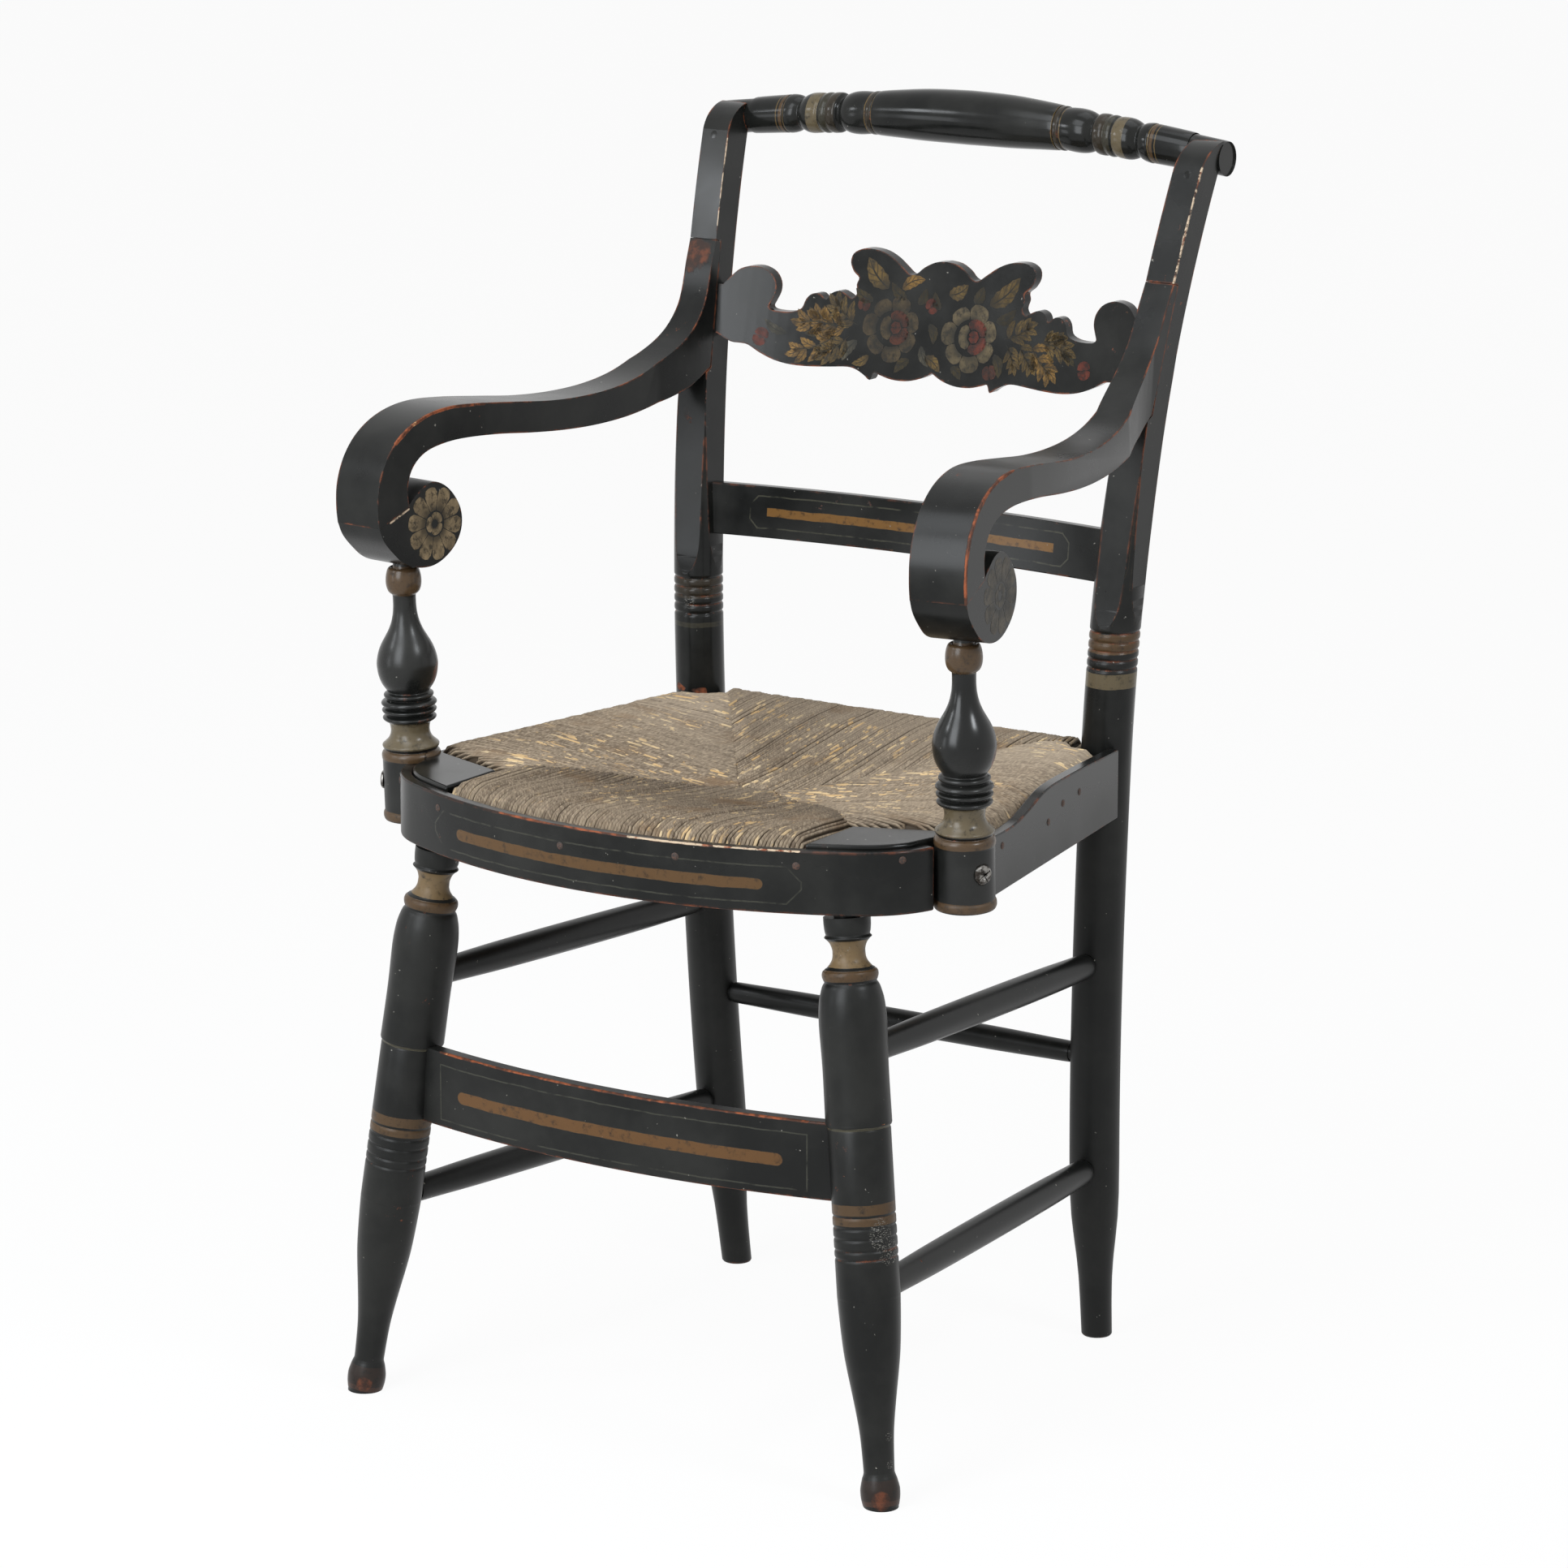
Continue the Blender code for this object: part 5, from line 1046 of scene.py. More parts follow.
def front_path(angle, inset=0.0):
    """A point on the seat's front outline at this angle off the front, moved in by inset."""
    if angle <= CORNER_FROM:
        return ((BOW_R - inset) * math.sin(angle), BOW_Y - (BOW_R - inset) * math.cos(angle))
    reach = CORNER_R - inset
    return (CORNER_MID[0] + reach * math.sin(angle), CORNER_MID[1] - reach * math.cos(angle))


block_plan = [front_path(angle, TRIM_THICK + 0.0003) for angle in spread(BLOCK_FROM, BLOCK_TO, 18)]
block_plan += [(0.2064, -0.1532), (0.2154, -0.1320), (0.2108, -0.1277), (0.14489, -0.15238)]
block_paint = black_paint("block_black_paint", rubbed=0.28)
set_pair(sawn(block_plan, BLOCK_LOW, BLOCK_LOW + BLOCK_TALL), "corner_block", block_paint, eased=0.0022)

# Rush seat: cords twisted from rush leaves, wound over each rail in turn and crossing at every
# corner, so four panels meet in seams. Stuffed between its layers, greyed and flecked with straw.
STRAND_PITCH = 0.00262
STRAND_HIGH = 0.00150
STRAND_OVERLAP = 0.0012
STRAND_SIDES = 6
STRAND_RINGS = 14
RUSH_MIDDLE_Y = -0.0480
RUSH_RIDGE = 0.0140
FRONT_SEAM = (0.1445, -0.1520)
BACK_SEAM = (0.1511, 0.1408)
RUSH_PROBE_Z = 0.4200
CORE_INSET = 0.0016
RUSH_LOW_EDGE = 0.4085
RUSH_HIGH_EDGE = 0.4300
ROUND_DEEPS = [0.0030, 0.0070, 0.0125, 0.0190]
LONG_SHARES = (0.22, 0.48, 0.74, 0.985, 1.0)
SHORT_LENGTH = 0.030
SHORT_STATIONS = (
    (0.0030, 0.10), (0.0070, 0.22), (0.0125, 0.36), (0.0190, 0.48), (0.021, 0.60), (0.023, 0.72),
    (0.025, 0.84), (0.027, 0.97), (0.030, 1.0),
)
random.seed(11)
rush_core = bmesh.new()
rush_core.from_mesh(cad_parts["rush_seat"].data)
bmesh.ops.remove_doubles(rush_core, verts=rush_core.verts, dist=0.00001)
rush_room = BVHTree.FromBMesh(rush_core)
DOWN = Vector((0.0, 0.0, -1.0))


def rush_height(x, y, run):
    """The rush's height where a plumb line meets it from above or below."""
    hit = rush_room.ray_cast(Vector((x, y, RUSH_PROBE_Z)) - run, run)[0]
    return hit.z if hit else None


def seam_y(x, corner):
    share = max(abs(x) - RUSH_RIDGE, 0.0) / (corner[0] - RUSH_RIDGE)
    return RUSH_MIDDLE_Y + (corner[1] - RUSH_MIDDLE_Y) * share


def seam_x(y):
    corner = FRONT_SEAM if y < RUSH_MIDDLE_Y else BACK_SEAM
    share = (y - RUSH_MIDDLE_Y) / (corner[1] - RUSH_MIDDLE_Y)
    return RUSH_RIDGE + (corner[0] - RUSH_RIDGE) * share


strand_mould = bmesh.new()
bmesh.ops.create_grid(strand_mould, x_segments=STRAND_RINGS - 1, y_segments=STRAND_SIDES, size=0.5)
rush_work = bmesh.new()
rush_work.verts.layers.float_vector.new("lay")
rush_work.verts.layers.float.new("around")
strand_mesh = bpy.data.meshes.new("strand")


def strand_line(edge, inward, length):
    """The middle line of one cord: out under the seat, round the rail and in over the top."""
    line = []
    for share in (0.92, 0.45):
        spot = edge + inward * max(length * share, 0.018)
        low = rush_height(spot.x, spot.y, -DOWN)
        line.append(Vector((spot.x, spot.y, (low or RUSH_LOW_EDGE) + STRAND_HIGH * 0.4)))
    inner = edge + inward * STRAND_HIGH
    line.append(Vector((inner.x, inner.y, RUSH_LOW_EDGE)) + inward * 0.004)
    line.append(Vector((edge.x, edge.y, (RUSH_LOW_EDGE + RUSH_HIGH_EDGE) / 2)) + inward * STRAND_HIGH * 0.7)
    line.append(Vector((edge.x, edge.y, RUSH_HIGH_EDGE - 0.001)) + inward * STRAND_HIGH * 0.8)
    if length > SHORT_LENGTH:
        rounded = ROUND_DEEPS[-1]
        deeps = ROUND_DEEPS + [rounded + (length - rounded) * share for share in LONG_SHARES]
    else:
        deeps = [min(deep, length * share) for deep, share in SHORT_STATIONS]
    for deep in deeps:
        spot = edge + inward * deep
        high = rush_height(spot.x, spot.y, DOWN)
        line.append(Vector((spot.x, spot.y, (high or RUSH_HIGH_EDGE) - STRAND_HIGH * 0.45)))
    line[-1].z -= 0.0006
    return line


def wind_strand(edge, inward, length, number):
    """One cord of rush, a tube of a few dozen faces drawn along its line."""
    line = strand_line(edge, inward, length)
    across = Vector((-inward.y, inward.x, 0.0))
    full = 1.0 + random.uniform(-0.12, 0.12)
    lift = random.uniform(-0.0003, 0.0004)
    sway = random.uniform(0.0, math.tau)
    drift = random.uniform(-0.0003, 0.0003)
    tone = random.random()
    runs = [0.0]
    for a, b in zip(line, line[1:]):
        runs.append(runs[-1] + (b - a).length)
    last = STRAND_RINGS - 1
    made = strand_mould.copy()
    lay = made.verts.layers.float_vector.new("lay")
    around = made.verts.layers.float.new("around")
    for spot in made.verts:
        ring = round((spot.co.x + 0.5) * last)
        angle = math.tau * (spot.co.y + 0.25)
        ahead = line[min(ring + 1, last)] - line[max(ring - 1, 0)]
        up = ahead.cross(across).normalized()
        if ring > 3 and up.z < 0:
            up = -up
        thick = 0.0 if ring in (0, last) else full
        wander = drift + 0.0002 * math.sin(sway + runs[ring] * 60.0)
        offset = across * (wander + math.cos(angle) * STRAND_PITCH * 0.53 * thick)
        offset += up * (math.sin(angle) * STRAND_HIGH * thick + lift)
        spot[lay] = (runs[ring], number, tone)
        spot[around] = spot.co.y + 0.5
        spot.co = line[ring] + offset
    made.to_mesh(strand_mesh)
    made.free()
    rush_work.from_mesh(strand_mesh)


def wind_panel(first, last, start, inward, seam, number):
    """Cords side by side along one rail, each in to the seam."""
    count = round(abs(last - first) / STRAND_PITCH)
    for k in range(count + 1):
        place = first + (last - first) * k / count
        origin = start(place)
        hit = rush_room.ray_cast(origin, inward)[0]
        if hit is None:
            continue
        target = seam(place)
        length = (target - hit).dot(inward) + STRAND_OVERLAP
        if length > 0.005:
            wind_strand(Vector((hit.x, hit.y, 0.0)), inward, length, number + k)


wind_panel(
    -0.1430, 0.1430, lambda x: Vector((x, -0.5, RUSH_PROBE_Z)), Vector((0.0, 1.0, 0.0)),
    lambda x: Vector((x, seam_y(x, FRONT_SEAM), RUSH_PROBE_Z)), 0)
wind_panel(
    -0.1500, 0.1500, lambda x: Vector((x, 0.5, RUSH_PROBE_Z)), Vector((0.0, -1.0, 0.0)),
    lambda x: Vector((x, seam_y(x, BACK_SEAM), RUSH_PROBE_Z)), 300)
for hand in (-1.0, 1.0):
    wind_panel(
        -0.1490, 0.1390, lambda y: Vector((hand * 0.5, y, RUSH_PROBE_Z)), Vector((-hand, 0.0, 0.0)),
        lambda y: Vector((hand * seam_x(y), y, RUSH_PROBE_Z)), 600 + 300 * hand)
bmesh.ops.remove_doubles(rush_work, verts=rush_work.verts, dist=0.000002)
bmesh.ops.recalc_face_normals(rush_work, faces=rush_work.faces)
rush_core.normal_update()
# The core gets a tone of -1, which the rush finish paints near black as shade in the gaps.
core_lay = rush_core.verts.layers.float_vector.new("lay")
for core_spot, core_way in [(spot, spot.normal.copy()) for spot in rush_core.verts]:
    core_spot.co -= core_way * CORE_INSET
    core_spot[core_lay] = (0.0, 0.0, -1.0)
rush_core.to_mesh(strand_mesh)
rush_work.from_mesh(strand_mesh)
rush_core.free()
strand_mould.free()


def rush_fibre():
    """Old rush: grey-brown cords, each its own tone, bright straw flecks; painted shade on cord sides and
    core, painted light at the back.
    """
    made, tree, shader = new_material("aged_rush_fibre")
    place = wire(tree, "TexCoord", out="Object")
    run, number, tone = parted(wire(tree, "Attribute", out="Vector", attribute_name="lay"))
    around = wire(tree, "Attribute", out="Fac", attribute_name="around")
    twist = plus(times(run, 130.0), around)
    spun = wire(tree, "CombineXYZ", {
        0: times(run, 60.0), 1: times(number, 3.7),
        2: times(twist, 2.4)})
    fleck_place = wire(tree, "CombineXYZ", {
        0: times(run, 62.0), 1: times(number, 1.3),
        2: times(around, 1.1)})
    fibre = speckle(spun, 1.5, 5.0, 0.65)
    colour = over(tone, (0.125, 0.091, 0.061, 1.0), (0.250, 0.194, 0.134, 1.0))
    colour = over(ease(fibre, 0.40, 0.70), colour, (0.380, 0.300, 0.210, 1.0))
    # Painted light: the back of the seat is made paler, evening out the lamps, which light the front more.
    painted_back_light = times(ease(parted(place)[1], -0.04, 0.12), 0.34)
    colour = over(painted_back_light, colour, (0.440, 0.360, 0.270, 1.0))
    cloud = speckle(place, 16.0, 4.0)
    colour = over(ease(cloud, 0.52, 0.75), colour, (0.190, 0.118, 0.062, 1.0))
    fleck = ease(speckle(fleck_place, 1.2, 3.0, 0.5), 0.585, 0.62)
    patchy = ease(speckle(place, 13.0, 3.0), 0.44, 0.58)
    straw = over(tone, (0.560, 0.360, 0.160, 1.0), (0.680, 0.530, 0.320, 1.0))
    colour = over(times(fleck, patchy), colour, straw)
    # Painted shade: each cord darkens along its sides, where it dips into the grooves between cords.
    painted_groove_shade = ease(calc("ABSOLUTE", minus(around, 0.5)), 0.13, 0.27)
    colour = over(times(painted_groove_shade, 0.8), colour, (0.055, 0.038, 0.024, 1.0))
    # Painted shade: the core seen in the gaps between the cords is near black.
    colour = over(ease(tone, -0.4, -0.6), colour, (0.050, 0.035, 0.022, 1.0))
    coat(shader, colour, ranged(fibre, 0.52, 0.82), fibre, 0.0006, 0.6)
    shader.inputs["Specular IOR Level"].default_value = 0.30
    return made


woven_rush = set_piece(rush_work, "woven_rush", rush_fibre(), "aged_rush", "rush_seat", sharp=60.0)

# Seat trims: thin boards that hide the rush's edges, the front one bent round both corners
# and striped, the side ones butted to the posts. Nailed on, and rubbed bare along the top.
TRIM_LOW = 0.3950
TRIM_TALL = 0.0430
TRIM_BOW_RUN = BOW_R * CORNER_FROM
TRIM_RUN = TRIM_BOW_RUN + CORNER_R * (CORNER_TO - CORNER_FROM)
SIDE_FRONT_Y = -0.11847
SIDE_BACK_Y = 0.12225
SIDE_TAPER = 0.17180
SIDE_X = 0.23438
SIDE_X_AT_Y = -0.14017
LEFT_TRIM_TALL = 0.0395
SIDE_TOP = (
    (0.000, 0.0415), (0.110, 0.0405), (0.200, 0.0410), (0.290, 0.0445), (0.380, 0.0495),
    (0.460, 0.0520), (0.560, 0.0522), (0.700, 0.0515), (0.850, 0.0502), (1.000, 0.0490),
)
TRIM_BROWN = (0.0900, 0.0480, 0.0190, 1.0)


def trim_point(u, inset):
    """The place in plan at this distance round the trim from the middle of the front."""
    run = abs(u)
    angle = run / BOW_R if run <= TRIM_BOW_RUN else CORNER_FROM + (run - TRIM_BOW_RUN) / CORNER_R
    x, y = front_path(angle, inset)
    return math.copysign(x, u), y


def bend_trim(u, v, w):
    x, y = trim_point(u, TRIM_THICK * (0.5 + 0.5 * w))
    return Vector((x, y, TRIM_LOW + v))


def side_x(y, inset):
    return SIDE_X - SIDE_TAPER * (y - SIDE_X_AT_Y) - inset * math.hypot(1.0, SIDE_TAPER)


trim_blank = plank(TRIM_RUN, TRIM_TALL, 96)
chipped = [
    Vector((*trim_point(u, 0.0), TRIM_LOW + TRIM_TALL))
    for u in (-0.08, -0.04, 0.00, 0.03, 0.06, 0.09, 0.12, 0.15)
]
knocked = [Vector((*trim_point(u, 0.0), TRIM_LOW)) for u in (-0.16, -0.10, -0.04, 0.02, 0.08, 0.14)]
trim_paint = black_paint(
    "trim_black_paint",
    striped(0.1260, 0.0038, 0.1520, 0.0125, 0.0100, 0.0022, THIN_GREY, TRIM_BROWN),
    rubbed=0.78,
    rub_lines=stretches_along(chipped, 0.0011) + stretches_along(knocked, 0.0008),
    bare_and_glint_lines=stretches_along(chipped[3:], 0.0013),
)
set_piece(
    bent(trim_blank, bend_trim, TRIM_TALL / 2), "finished_front_seat_trim", trim_paint, "black_paint",
    "front_seat_trim", eased=0.0014)
side_run = SIDE_BACK_Y - SIDE_FRONT_Y
side_tops = {
    1.0: [(SIDE_FRONT_Y + side_run * t, TRIM_LOW + h) for t, h in smooth(SIDE_TOP, 4)],
    -1.0: [(SIDE_FRONT_Y, TRIM_LOW + LEFT_TRIM_TALL), (SIDE_BACK_Y, TRIM_LOW + LEFT_TRIM_TALL)],
}
side_paint = black_paint("side_trim_black_paint", rubbed=0.55)
for hand, side_name in ((1.0, "right_seat_trim"), (-1.0, "left_seat_trim")):
    side_line = [*side_tops[hand], (SIDE_BACK_Y, TRIM_LOW), (SIDE_FRONT_Y, TRIM_LOW)]
    side_shape = laid(
        sawn(side_line), lambda u, v, w: Vector((hand * side_x(u, TRIM_THICK * (0.5 - 0.5 * w)), u, v)))
    set_piece(side_shape, "finished_" + side_name, side_paint, "black_paint", side_name, eased=0.0012)

# Trim nails: small cut nails with rusty, paint-flecked heads, driven just below the surface of
# the trims.
NAIL_ROWS = [(0.0002, 0.0007), (0.0012, 0.0007), (0.0021, 0.0005), (0.0026, 0.0001), (0.0026, -0.0012)]
FRONT_NAILS = (
    (-0.0245, 0.4239), (0.1485, 0.4279), (0.2190, 0.4322), (-0.1485, 0.4279), (-0.2190, 0.4322),
    (0.0650, 0.4280),
)
SIDE_NAILS = ((-0.0957, 0.4265), (-0.0117, 0.4230), (0.0153, 0.4300), (0.0463, 0.4310))
nail_rust = mottled(
    "rusty_nail", (900.0, 4.0), (0.38, 0.64), (0.016, 0.012, 0.010, 1.0), (0.080, 0.038, 0.024, 1.0),
    (0.5, 0.9), 0.0003)
nail_spots = []
for u, z in FRONT_NAILS:
    nail_x, nail_y = trim_point(u, 0.0)
    in_x, in_y = trim_point(u, TRIM_THICK)
    nail_spots.append((Vector((nail_x, nail_y, z)), Vector((nail_x - in_x, nail_y - in_y, 0.0))))
for hand in (-1.0, 1.0):
    for y, z in SIDE_NAILS:
        nail_spots.append((Vector((hand * side_x(y, 0.0), y, z)), Vector((hand, SIDE_TAPER, 0.0))))
for k, (nail_at, nail_out) in enumerate(nail_spots):
    nail_shape = stood(turned(NAIL_ROWS, 14), nail_at, nail_out)
    set_piece(nail_shape, "trim_nail_%02d" % k, nail_rust, "worn_steel")

# Arm posts: turned with a ball, a vase, four thin rings and a flared cove over a plain drum
# that is flat inside and screwed to the corner block. Ball and beads bronzed, cove olive.
SUPPORT_FOOT = Vector((0.22518, -0.14017, 0.3940))
SUPPORT_LEAN = Vector((0.0095, -0.0370, 1.0))
SUPPORT_PROFILE = (
    (0.0070, 0.1920), (0.0070, 0.1796), (0.0092, 0.1794), (0.0108, 0.1780), (0.0120, 0.1740),
    (0.0124, 0.1695), (0.0120, 0.1655), (0.0107, 0.1622), (0.0086, 0.1603), (0.0081, 0.1592),
    (0.0080, 0.1550), (0.0081, 0.1510), (0.0086, 0.1460), (0.0100, 0.1400), (0.0122, 0.1345),
    (0.0148, 0.1298), (0.0176, 0.1248), (0.0199, 0.1190), (0.0212, 0.1125), (0.0211, 0.1080),
    (0.0203, 0.1028), (0.0184, 0.0975), (0.0158, 0.0934), (0.0148, 0.0918), (0.0150, 0.0910),
    (0.0168, 0.0900), (0.0174, 0.0888), (0.0168, 0.0874), (0.0155, 0.0865), (0.0156, 0.0859),
    (0.0180, 0.0850), (0.0193, 0.0836), (0.0190, 0.0822), (0.0168, 0.0811), (0.0158, 0.0804),
    (0.0166, 0.0797), (0.0186, 0.0790), (0.0190, 0.0779), (0.0180, 0.0765), (0.0160, 0.0756),
    (0.0158, 0.0749), (0.0172, 0.0742), (0.0186, 0.0732), (0.0184, 0.0718), (0.0166, 0.0704),
    (0.0148, 0.0694), (0.0141, 0.0680), (0.0136, 0.0650), (0.0136, 0.0628), (0.0141, 0.0604),
    (0.0154, 0.0578), (0.0178, 0.0554), (0.0196, 0.0538), (0.0198, 0.0528), (0.0192, 0.0514),
    (0.0183, 0.0505), (0.0183, 0.0498), (0.0196, 0.0488), (0.0204, 0.0474), (0.0206, 0.0458),
    (0.0204, 0.0438), (0.0201, 0.0426), (0.0201, 0.0400), (0.0201, 0.0090), (0.0199, 0.0074),
    (0.0199, 0.0066), (0.0208, 0.0056), (0.0211, 0.0040), (0.0210, 0.0020), (0.0203, 0.0004),
    (0.0198, 0.0000),
)
SCREW_OUT = Vector((0.9206, -0.3906, 0.0))
SCREW_SIDE = Vector((0.3906, 0.9206, 0.0))
FLAT_AT = Vector((0.2139, -0.1363, 0.4190))
HEAD_SEAT = Vector((0.2438, -0.1489, 0.4205))
HEAD_HOLE_R = 0.0074
SQUARE = [(-1.0, -1.0), (1.0, -1.0), (1.0, 1.0), (-1.0, 1.0)]


def on_flat(u, v, w):
    """Lays a square block against the drum's flat, on its inner side."""
    return FLAT_AT - SCREW_OUT * 0.02 * (1 + u) + SCREW_SIDE * 0.03 * v + Vector((0.0, 0.0, 0.0255 * w))


support_shape = carved(
    stood(turned(smooth(SUPPORT_PROFILE, 3), TURNED_STEPS), SUPPORT_FOOT, SUPPORT_LEAN),
    laid(sawn(SQUARE), on_flat),
    rod(HEAD_SEAT - SCREW_OUT * 0.0003, HEAD_SEAT + SCREW_OUT * 0.02, HEAD_HOLE_R),
)
support_paint = black_paint(
    "arm_post_black_paint",
    bands(
        0.2, (-0.01, 0.0068, BRONZE), (0.0432, 0.0500, BRONZE), (0.0516, 0.0696, OLIVE),
        (0.1598, 0.1800, BRONZE)),
    rubbed=0.34,
    rubs=((0.2425, -0.1335, 0.4960, 0.0100), (-0.2120, -0.1350, 0.4970, 0.0110)),
    gloss=0.30,
    satin=0.10,
)
set_pair(support_shape, "arm_support", support_paint, sharp=32.0)

# Arm-post screws: round-headed steel screws with a crossed slot, later repairs, set in a shallow
# hole in each drum and worn bright at the rim.
SCREW_ROWS = [
    (0.0006, 0.0022), (0.0040, 0.0021), (0.0056, 0.0018), (0.0064, 0.0011), (0.0066, 0.0004),
    (0.0066, 0.0), (0.0026, 0.0), (0.0026, -0.0360),
]
SLOT_TURN = math.radians(28.0)
SLOT_LONG = 0.0052
SLOT_WIDE = 0.0006
SLOT_FLOOR = 0.0009


def slot_waste(turn):
    """What is filed out for one slot across the head."""
    cos, sin = math.cos(turn), math.sin(turn)

    def place(u, v, w):
        x, y = u * SLOT_LONG, v * SLOT_WIDE
        return Vector((cos * x - sin * y, sin * x + cos * y, w))

    return laid(sawn(SQUARE, SLOT_FLOOR, 0.0040), place)


screw_steel = mottled(
    "worn_screw_steel", (230.0, 4.0), (0.40, 0.60), (0.260, 0.250, 0.235, 1.0), (0.035, 0.030, 0.026, 1.0),
    (0.22, 0.62), 0.0002, metal=1.0)
screw_head = carved(turned(SCREW_ROWS, ROD_STEPS), slot_waste(SLOT_TURN), slot_waste(SLOT_TURN + math.pi / 2))
set_pair(stood(screw_head, HEAD_SEAT, SCREW_OUT), "support_screw", screw_steel, "worn_steel", sharp=28.0)

# Arms: sawn from thick board in a long S, wide at the front and let into the posts behind. A
# separate block glued under the front turns each end into a scroll with a painted rosette.
ARM_FRONT = (0.2269, -0.1450)
ARM_RUN = 0.29505
ARM_LEAN = 0.13340
ARM_FRONT_HALF = 0.0200
ARM_BACK_HALF = 0.0113
ARM_WIDE_TO = -0.0600
ARM_TRIMMED_FROM = -0.2450
SCROLL_Z = 0.5750
ARM_UPPER = (
    (-0.3070, 0.1730), (-0.2960, 0.1480), (-0.2790, 0.1290), (-0.2560, 0.1150), (-0.2280, 0.1040),
    (-0.1980, 0.0985), (-0.1650, 0.0970), (-0.1300, 0.0985), (-0.0950, 0.1025), (-0.0600, 0.1065),
    (-0.0300, 0.1085), (-0.0080, 0.1065), (0.0110, 0.1005), (0.0265, 0.0905), (0.0375, 0.0770),
    (0.0438, 0.0610), (0.0450, 0.0450), (0.0436, 0.0325),
)
ARM_LOWER = (
    (0.0145, 0.0440), (0.0158, 0.0580), (0.0105, 0.0710), (-0.0020, 0.0800), (-0.0220, 0.0840),
    (-0.0450, 0.0845), (-0.0750, 0.0825), (-0.1100, 0.0785), (-0.1450, 0.0755), (-0.1800, 0.0745),
    (-0.2150, 0.0762), (-0.2480, 0.0815), (-0.2750, 0.0890),
)
ARM_END = ((-0.28780, 0.0954), (-0.29750, 0.1002), (-0.32050, 0.1879), (-0.31480, 0.1897))
SCROLL_ROUND = (
    (0.0146, 0.0453), (0.0080, 0.0509), (-0.0010, 0.0566), (-0.0105, 0.0583), (-0.0210, 0.0540),
    (-0.0300, 0.0455), (-0.0360, 0.0345), (-0.0362, 0.0225), (-0.0305, 0.0120), (-0.0200, 0.0040),
    (-0.0080, 0.0000), (0.0060, 0.0005), (0.0200, 0.0055), (0.0310, 0.0145), (0.0392, 0.0235),
    (0.0432, 0.0319), (0.0437, 0.0338),
)
SCROLL_SHARE = 0.994
JOINT_ENDS = ((0.0150, 0.0428), (0.0330, 0.0358))


def arm_place(s, rise, side):
    """s runs forward from the arm post; side is -1 on the inner face and 1 on the outer."""
    y = ARM_FRONT[1] - s
    back = min(max((ARM_WIDE_TO - s) / (ARM_WIDE_TO + ARM_RUN), 0.0), 1.0)
    half = ARM_FRONT_HALF + (ARM_BACK_HALF - ARM_FRONT_HALF) * back
    centre = ARM_FRONT[0] - ARM_LEAN * (y - ARM_FRONT[1])
    trimmed = min(max((ARM_TRIMMED_FROM - s) / (ARM_TRIMMED_FROM + ARM_RUN), 0.0), 1.0)
    centre += (post_axis(SCROLL_Z + rise).x - centre) * trimmed
    return Vector((centre + side * half, y + side * half * ARM_LEAN * (1 - back), SCROLL_Z + rise))


arm_line = [*smooth(ARM_UPPER, 5), *smooth(ARM_LOWER, 5), *ARM_END]
arm_cuts = [ARM_WIDE_TO, *spread(ARM_TRIMMED_FROM, -ARM_RUN, 6)]
arm_shape = laid(scored(sawn(arm_line), arm_cuts), arm_place)
right_rub = [arm_place(s, rise, 1.0) for s, rise in ARM_UPPER[10:]]
left_rub = [arm_place(s, rise, -1.0) * LEFT for s, rise in ARM_UPPER[9:14]]
arm_paint = black_paint(
    "arm_black_paint",
    rubbed=0.72,
    rubs=((-0.1930, 0.1670, 0.7540, 0.0150), (0.2050, 0.0300, 0.6640, 0.0060)),
    rub_lines=stretches_along(right_rub, 0.0016) + stretches_along(left_rub, 0.0016),
    satin=0.13,
)
set_pair(arm_shape, "arm", arm_paint, eased=0.0014)
scroll_shape = laid(sawn(smooth(SCROLL_ROUND, 5)), lambda u, v, w: arm_place(u, v, SCROLL_SHARE * w))
joint = [arm_place(s, rise, -1.0) * LEFT for s, rise in JOINT_ENDS]
scroll_paint = black_paint("scroll_black_paint", rubbed=0.5, bare_and_glint_lines=stretches_along(joint, 0.0007), satin=0.13)
set_pair(scroll_shape, "scroll_block", scroll_paint, eased=0.0012)

# Rosettes: a flower of ten khaki petals round a small ring, painted freehand on both faces of
# each scroll, the outer ones nearly rubbed away.
ROSETTE_AT = (-0.0098, 0.0290)
ROSETTE_R = 0.0258
ROSETTE_PETALS = 10
PETAL_KHAKI = (0.2400, 0.1820, 0.1110)
PETAL_FAINT = (0.0620, 0.0520, 0.0370)


def on_scroll(hand, side):
    """Lays films on one face of one scroll."""
    off = Vector((side * FILM, side * FILM * ARM_LEAN, 0.0))

    def place(s, rise):
        return (arm_place(s, rise, side * SCROLL_SHARE) + off) * Vector((hand, 1.0, 1.0))

    return place


stencil_rosette = stencil_paint("rosette_paint")
for hand, hand_name in ((-1.0, "left"), (1.0, "right")):
    for side, side_name, tint in ((-1.0, "inner", PETAL_KHAKI), (1.0, "outer", PETAL_FAINT)):
        flower = film(on_scroll(hand, side))
        for k in range(ROSETTE_PETALS):
            petal(flower, ROSETTE_AT, ROSETTE_R * 0.36, ROSETTE_R, 36.0 * k + 9.0, 34.5, tint, 60 + k)
        for k in range(3):
            petal(flower, ROSETTE_AT, ROSETTE_R * 0.12, ROSETTE_R * 0.32, 120.0 * k, 116.0, tint, 75 + k)
        set_films(
            flower, "rosette_%s_%s" % (hand_name, side_name), stencil_rosette,
            Vector((-hand * side, 0.0, 0.0)), "black_paint")

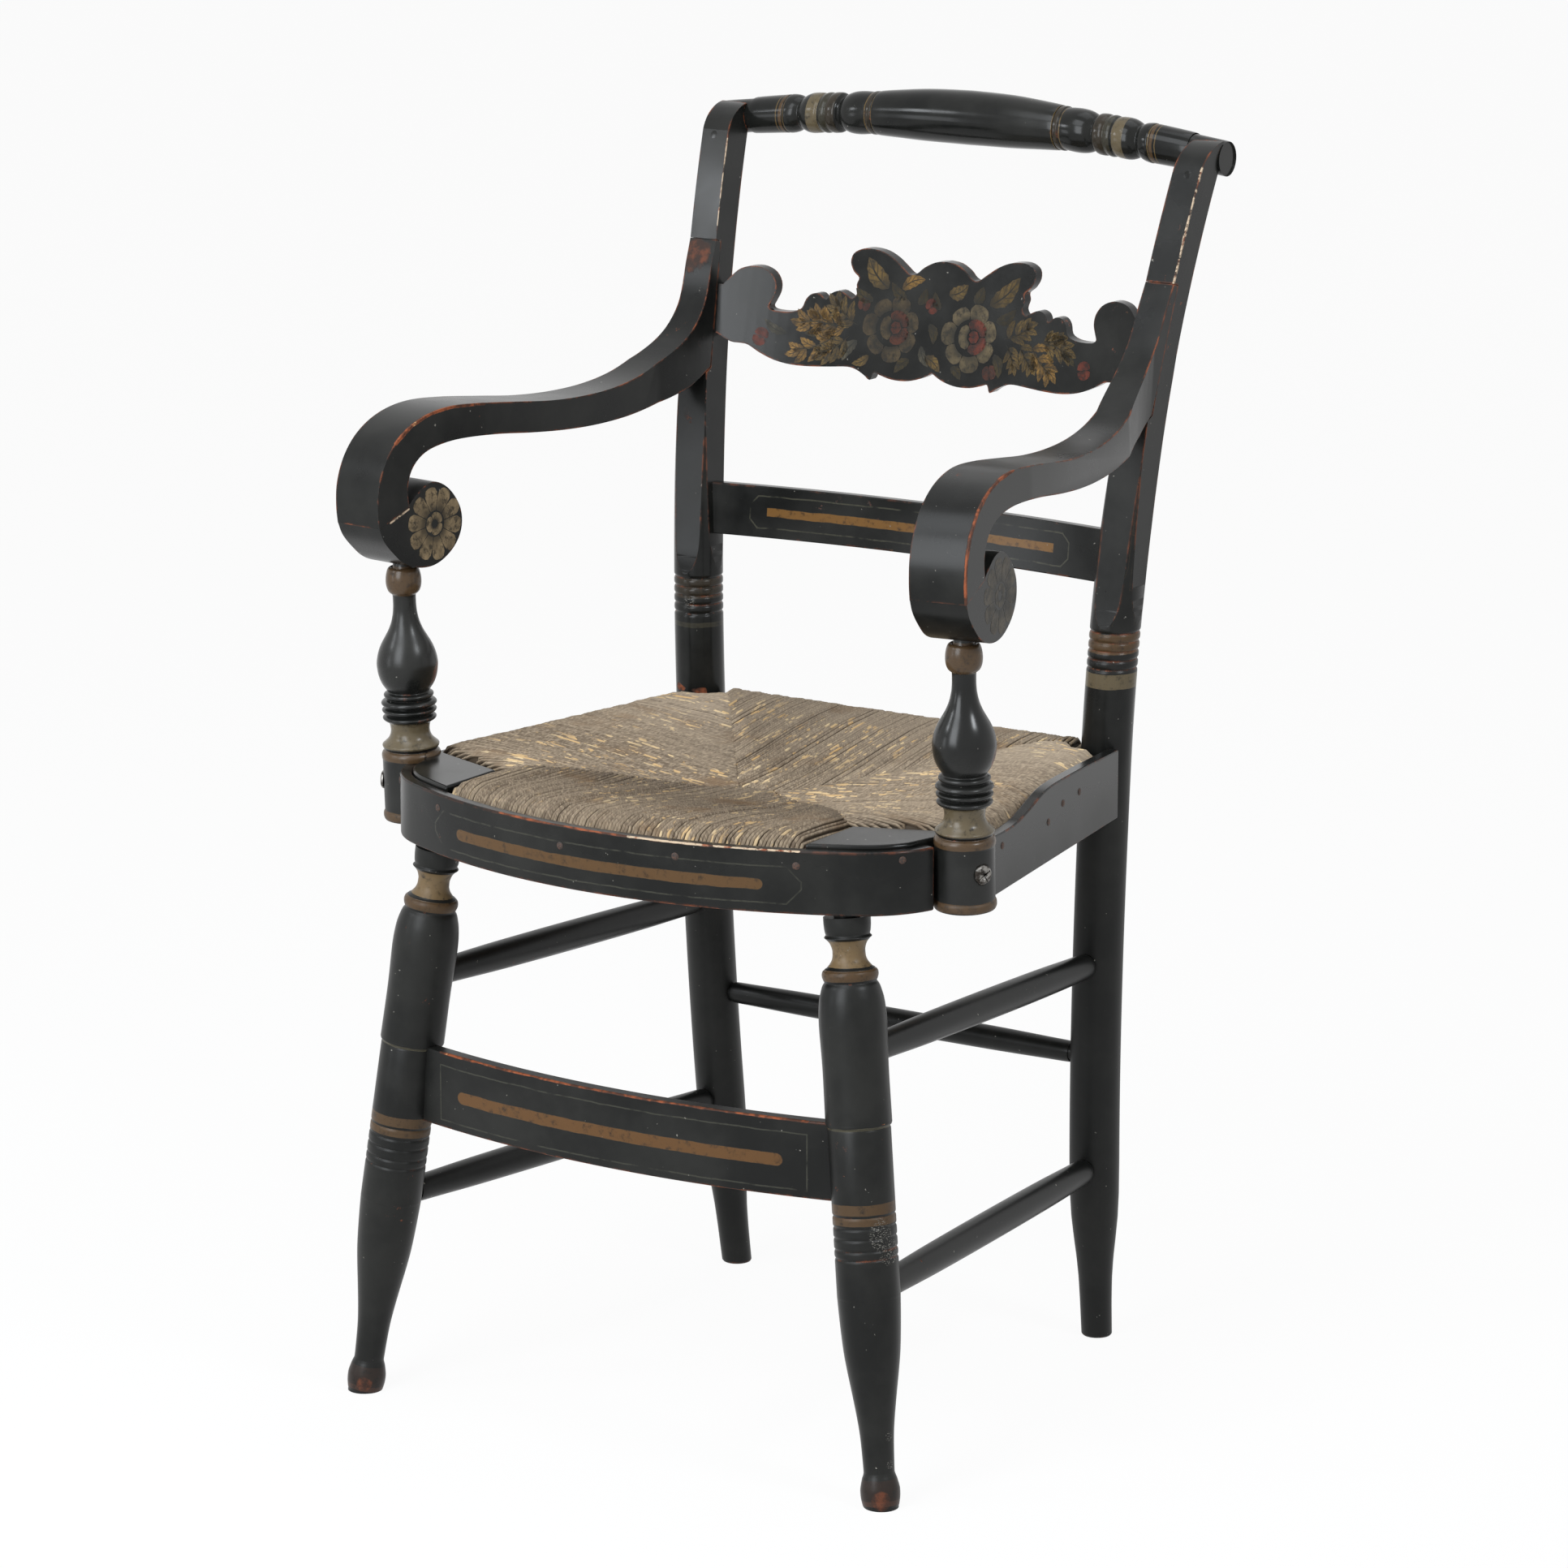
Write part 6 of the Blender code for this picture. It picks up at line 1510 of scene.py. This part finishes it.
# Studio: a plain white floor and surround, six soft lamps and the photograph's viewpoint.
# None of it is part of the chair.
CAMERA_AT = (2.21358, -3.39941, 1.40139)
CAMERA_TURN = math.radians(33.174)
CAMERA_DROP = math.radians(13.613)
CAMERA_LENS = 137.73
WHITE = (1.0, 1.0, 1.0, 1.0)
LAMP_COLOUR = (0.92, 0.96, 1.0)
LAMPS = (
    ("front_softbox", (-0.18, -2.02, 1.36), (0.0, 0.0, 0.72), (0.95, 1.50), 34.0),
    ("high_softbox", (-0.20, -1.15, 2.35), (0.0, -0.10, 0.60), (1.00, 1.00), 15.0),
    ("left_softbox", (-1.52, -1.64, 1.70), (0.0, 0.0, 0.75), (0.36, 0.40), 7.0),
    ("low_softbox", (-1.36, -1.66, 0.64), (-0.18, 0.12, 0.60), (0.34, 0.54), 2.2),
    ("right_softbox", (1.78, -0.31, 1.86), (0.0, 0.0, 0.60), (0.45, 0.45), 17.0),
    ("back_softbox", (0.10, 0.60, 2.60), (0.0, 0.15, 0.50), (1.20, 1.20), 6.0),
)
floor_work = bmesh.new()
bmesh.ops.create_grid(floor_work, x_segments=2, y_segments=2, size=20.0)
floor = put_down(floor_work, "pale_floor")


def seen(tree):
    """1 for what the eye, a reflection or a look through glass meets."""
    path = tree.nodes.new("ShaderNodeLightPath").outputs
    mirror = most(path["Is Camera Ray"], path["Is Glossy Ray"])
    return most(mirror, path["Is Transmission Ray"])


floor_paint, floor_tree, floor_shader = new_material("white_floor")
floor_place = wire(floor_tree, "TexCoord", out="Object")
floor_shade = ranged(speckle(floor_place, 3.0), 0.86, 0.92)
floor_colour = wire(floor_tree, "CombineColor", {0: floor_shade, 1: floor_shade, 2: floor_shade})
floor_tree.links.new(floor_colour, floor_shader.inputs["Base Color"])
floor_shader.inputs["Roughness"].default_value = 0.9
floor_shader.inputs["Specular IOR Level"].default_value = 0.0
floor_glow = wire(floor_tree, "Emission", {"Color": WHITE, "Strength": 1.0})
floor_share = times(seen(floor_tree), 0.94)
floor_mix = wire(floor_tree, "MixShader", {0: floor_share, 1: floor_shader.outputs[0], 2: floor_glow})
floor_tree.links.new(floor_mix, floor_tree.nodes["Material Output"].inputs["Surface"])
floor.data.materials.append(floor_paint)

surround = bpy.data.worlds.new("white_surround")
surround.use_nodes = True
sky = surround.node_tree
sky_light = wire(sky, "Background", {"Color": WHITE, "Strength": 0.34})
sky_seen = wire(sky, "Background", {"Color": WHITE, "Strength": 1.0})
sky_mix = wire(sky, "MixShader", {0: seen(sky), 1: sky_light, 2: sky_seen})
sky.links.new(sky_mix, sky.nodes["World Output"].inputs["Surface"])
bpy.context.scene.world = surround

for lamp_name, lamp_at, lamp_to, lamp_size, lamp_power in LAMPS:
    lamp = bpy.data.lights.new(lamp_name, "AREA")
    lamp.shape = "RECTANGLE"
    lamp.size, lamp.size_y = lamp_size
    lamp.energy = lamp_power
    lamp.color = LAMP_COLOUR
    stand = bpy.data.objects.new(lamp_name, lamp)
    stand.location = lamp_at
    stand.rotation_euler = (Vector(lamp_to) - Vector(lamp_at)).to_track_quat("-Z", "Y").to_euler()
    bpy.context.scene.collection.objects.link(stand)

eye = bpy.data.cameras.new("photo_view")
eye.lens = CAMERA_LENS
eye.sensor_width = 36.0
eye.clip_start = 0.05
tripod = bpy.data.objects.new("photo_view", eye)
tripod.location = CAMERA_AT
tripod.rotation_euler = (math.pi / 2 - CAMERA_DROP, 0.0, CAMERA_TURN)
bpy.context.scene.collection.objects.link(tripod)
bpy.context.scene.camera = tripod
bpy.context.scene.view_settings.view_transform = "Standard"
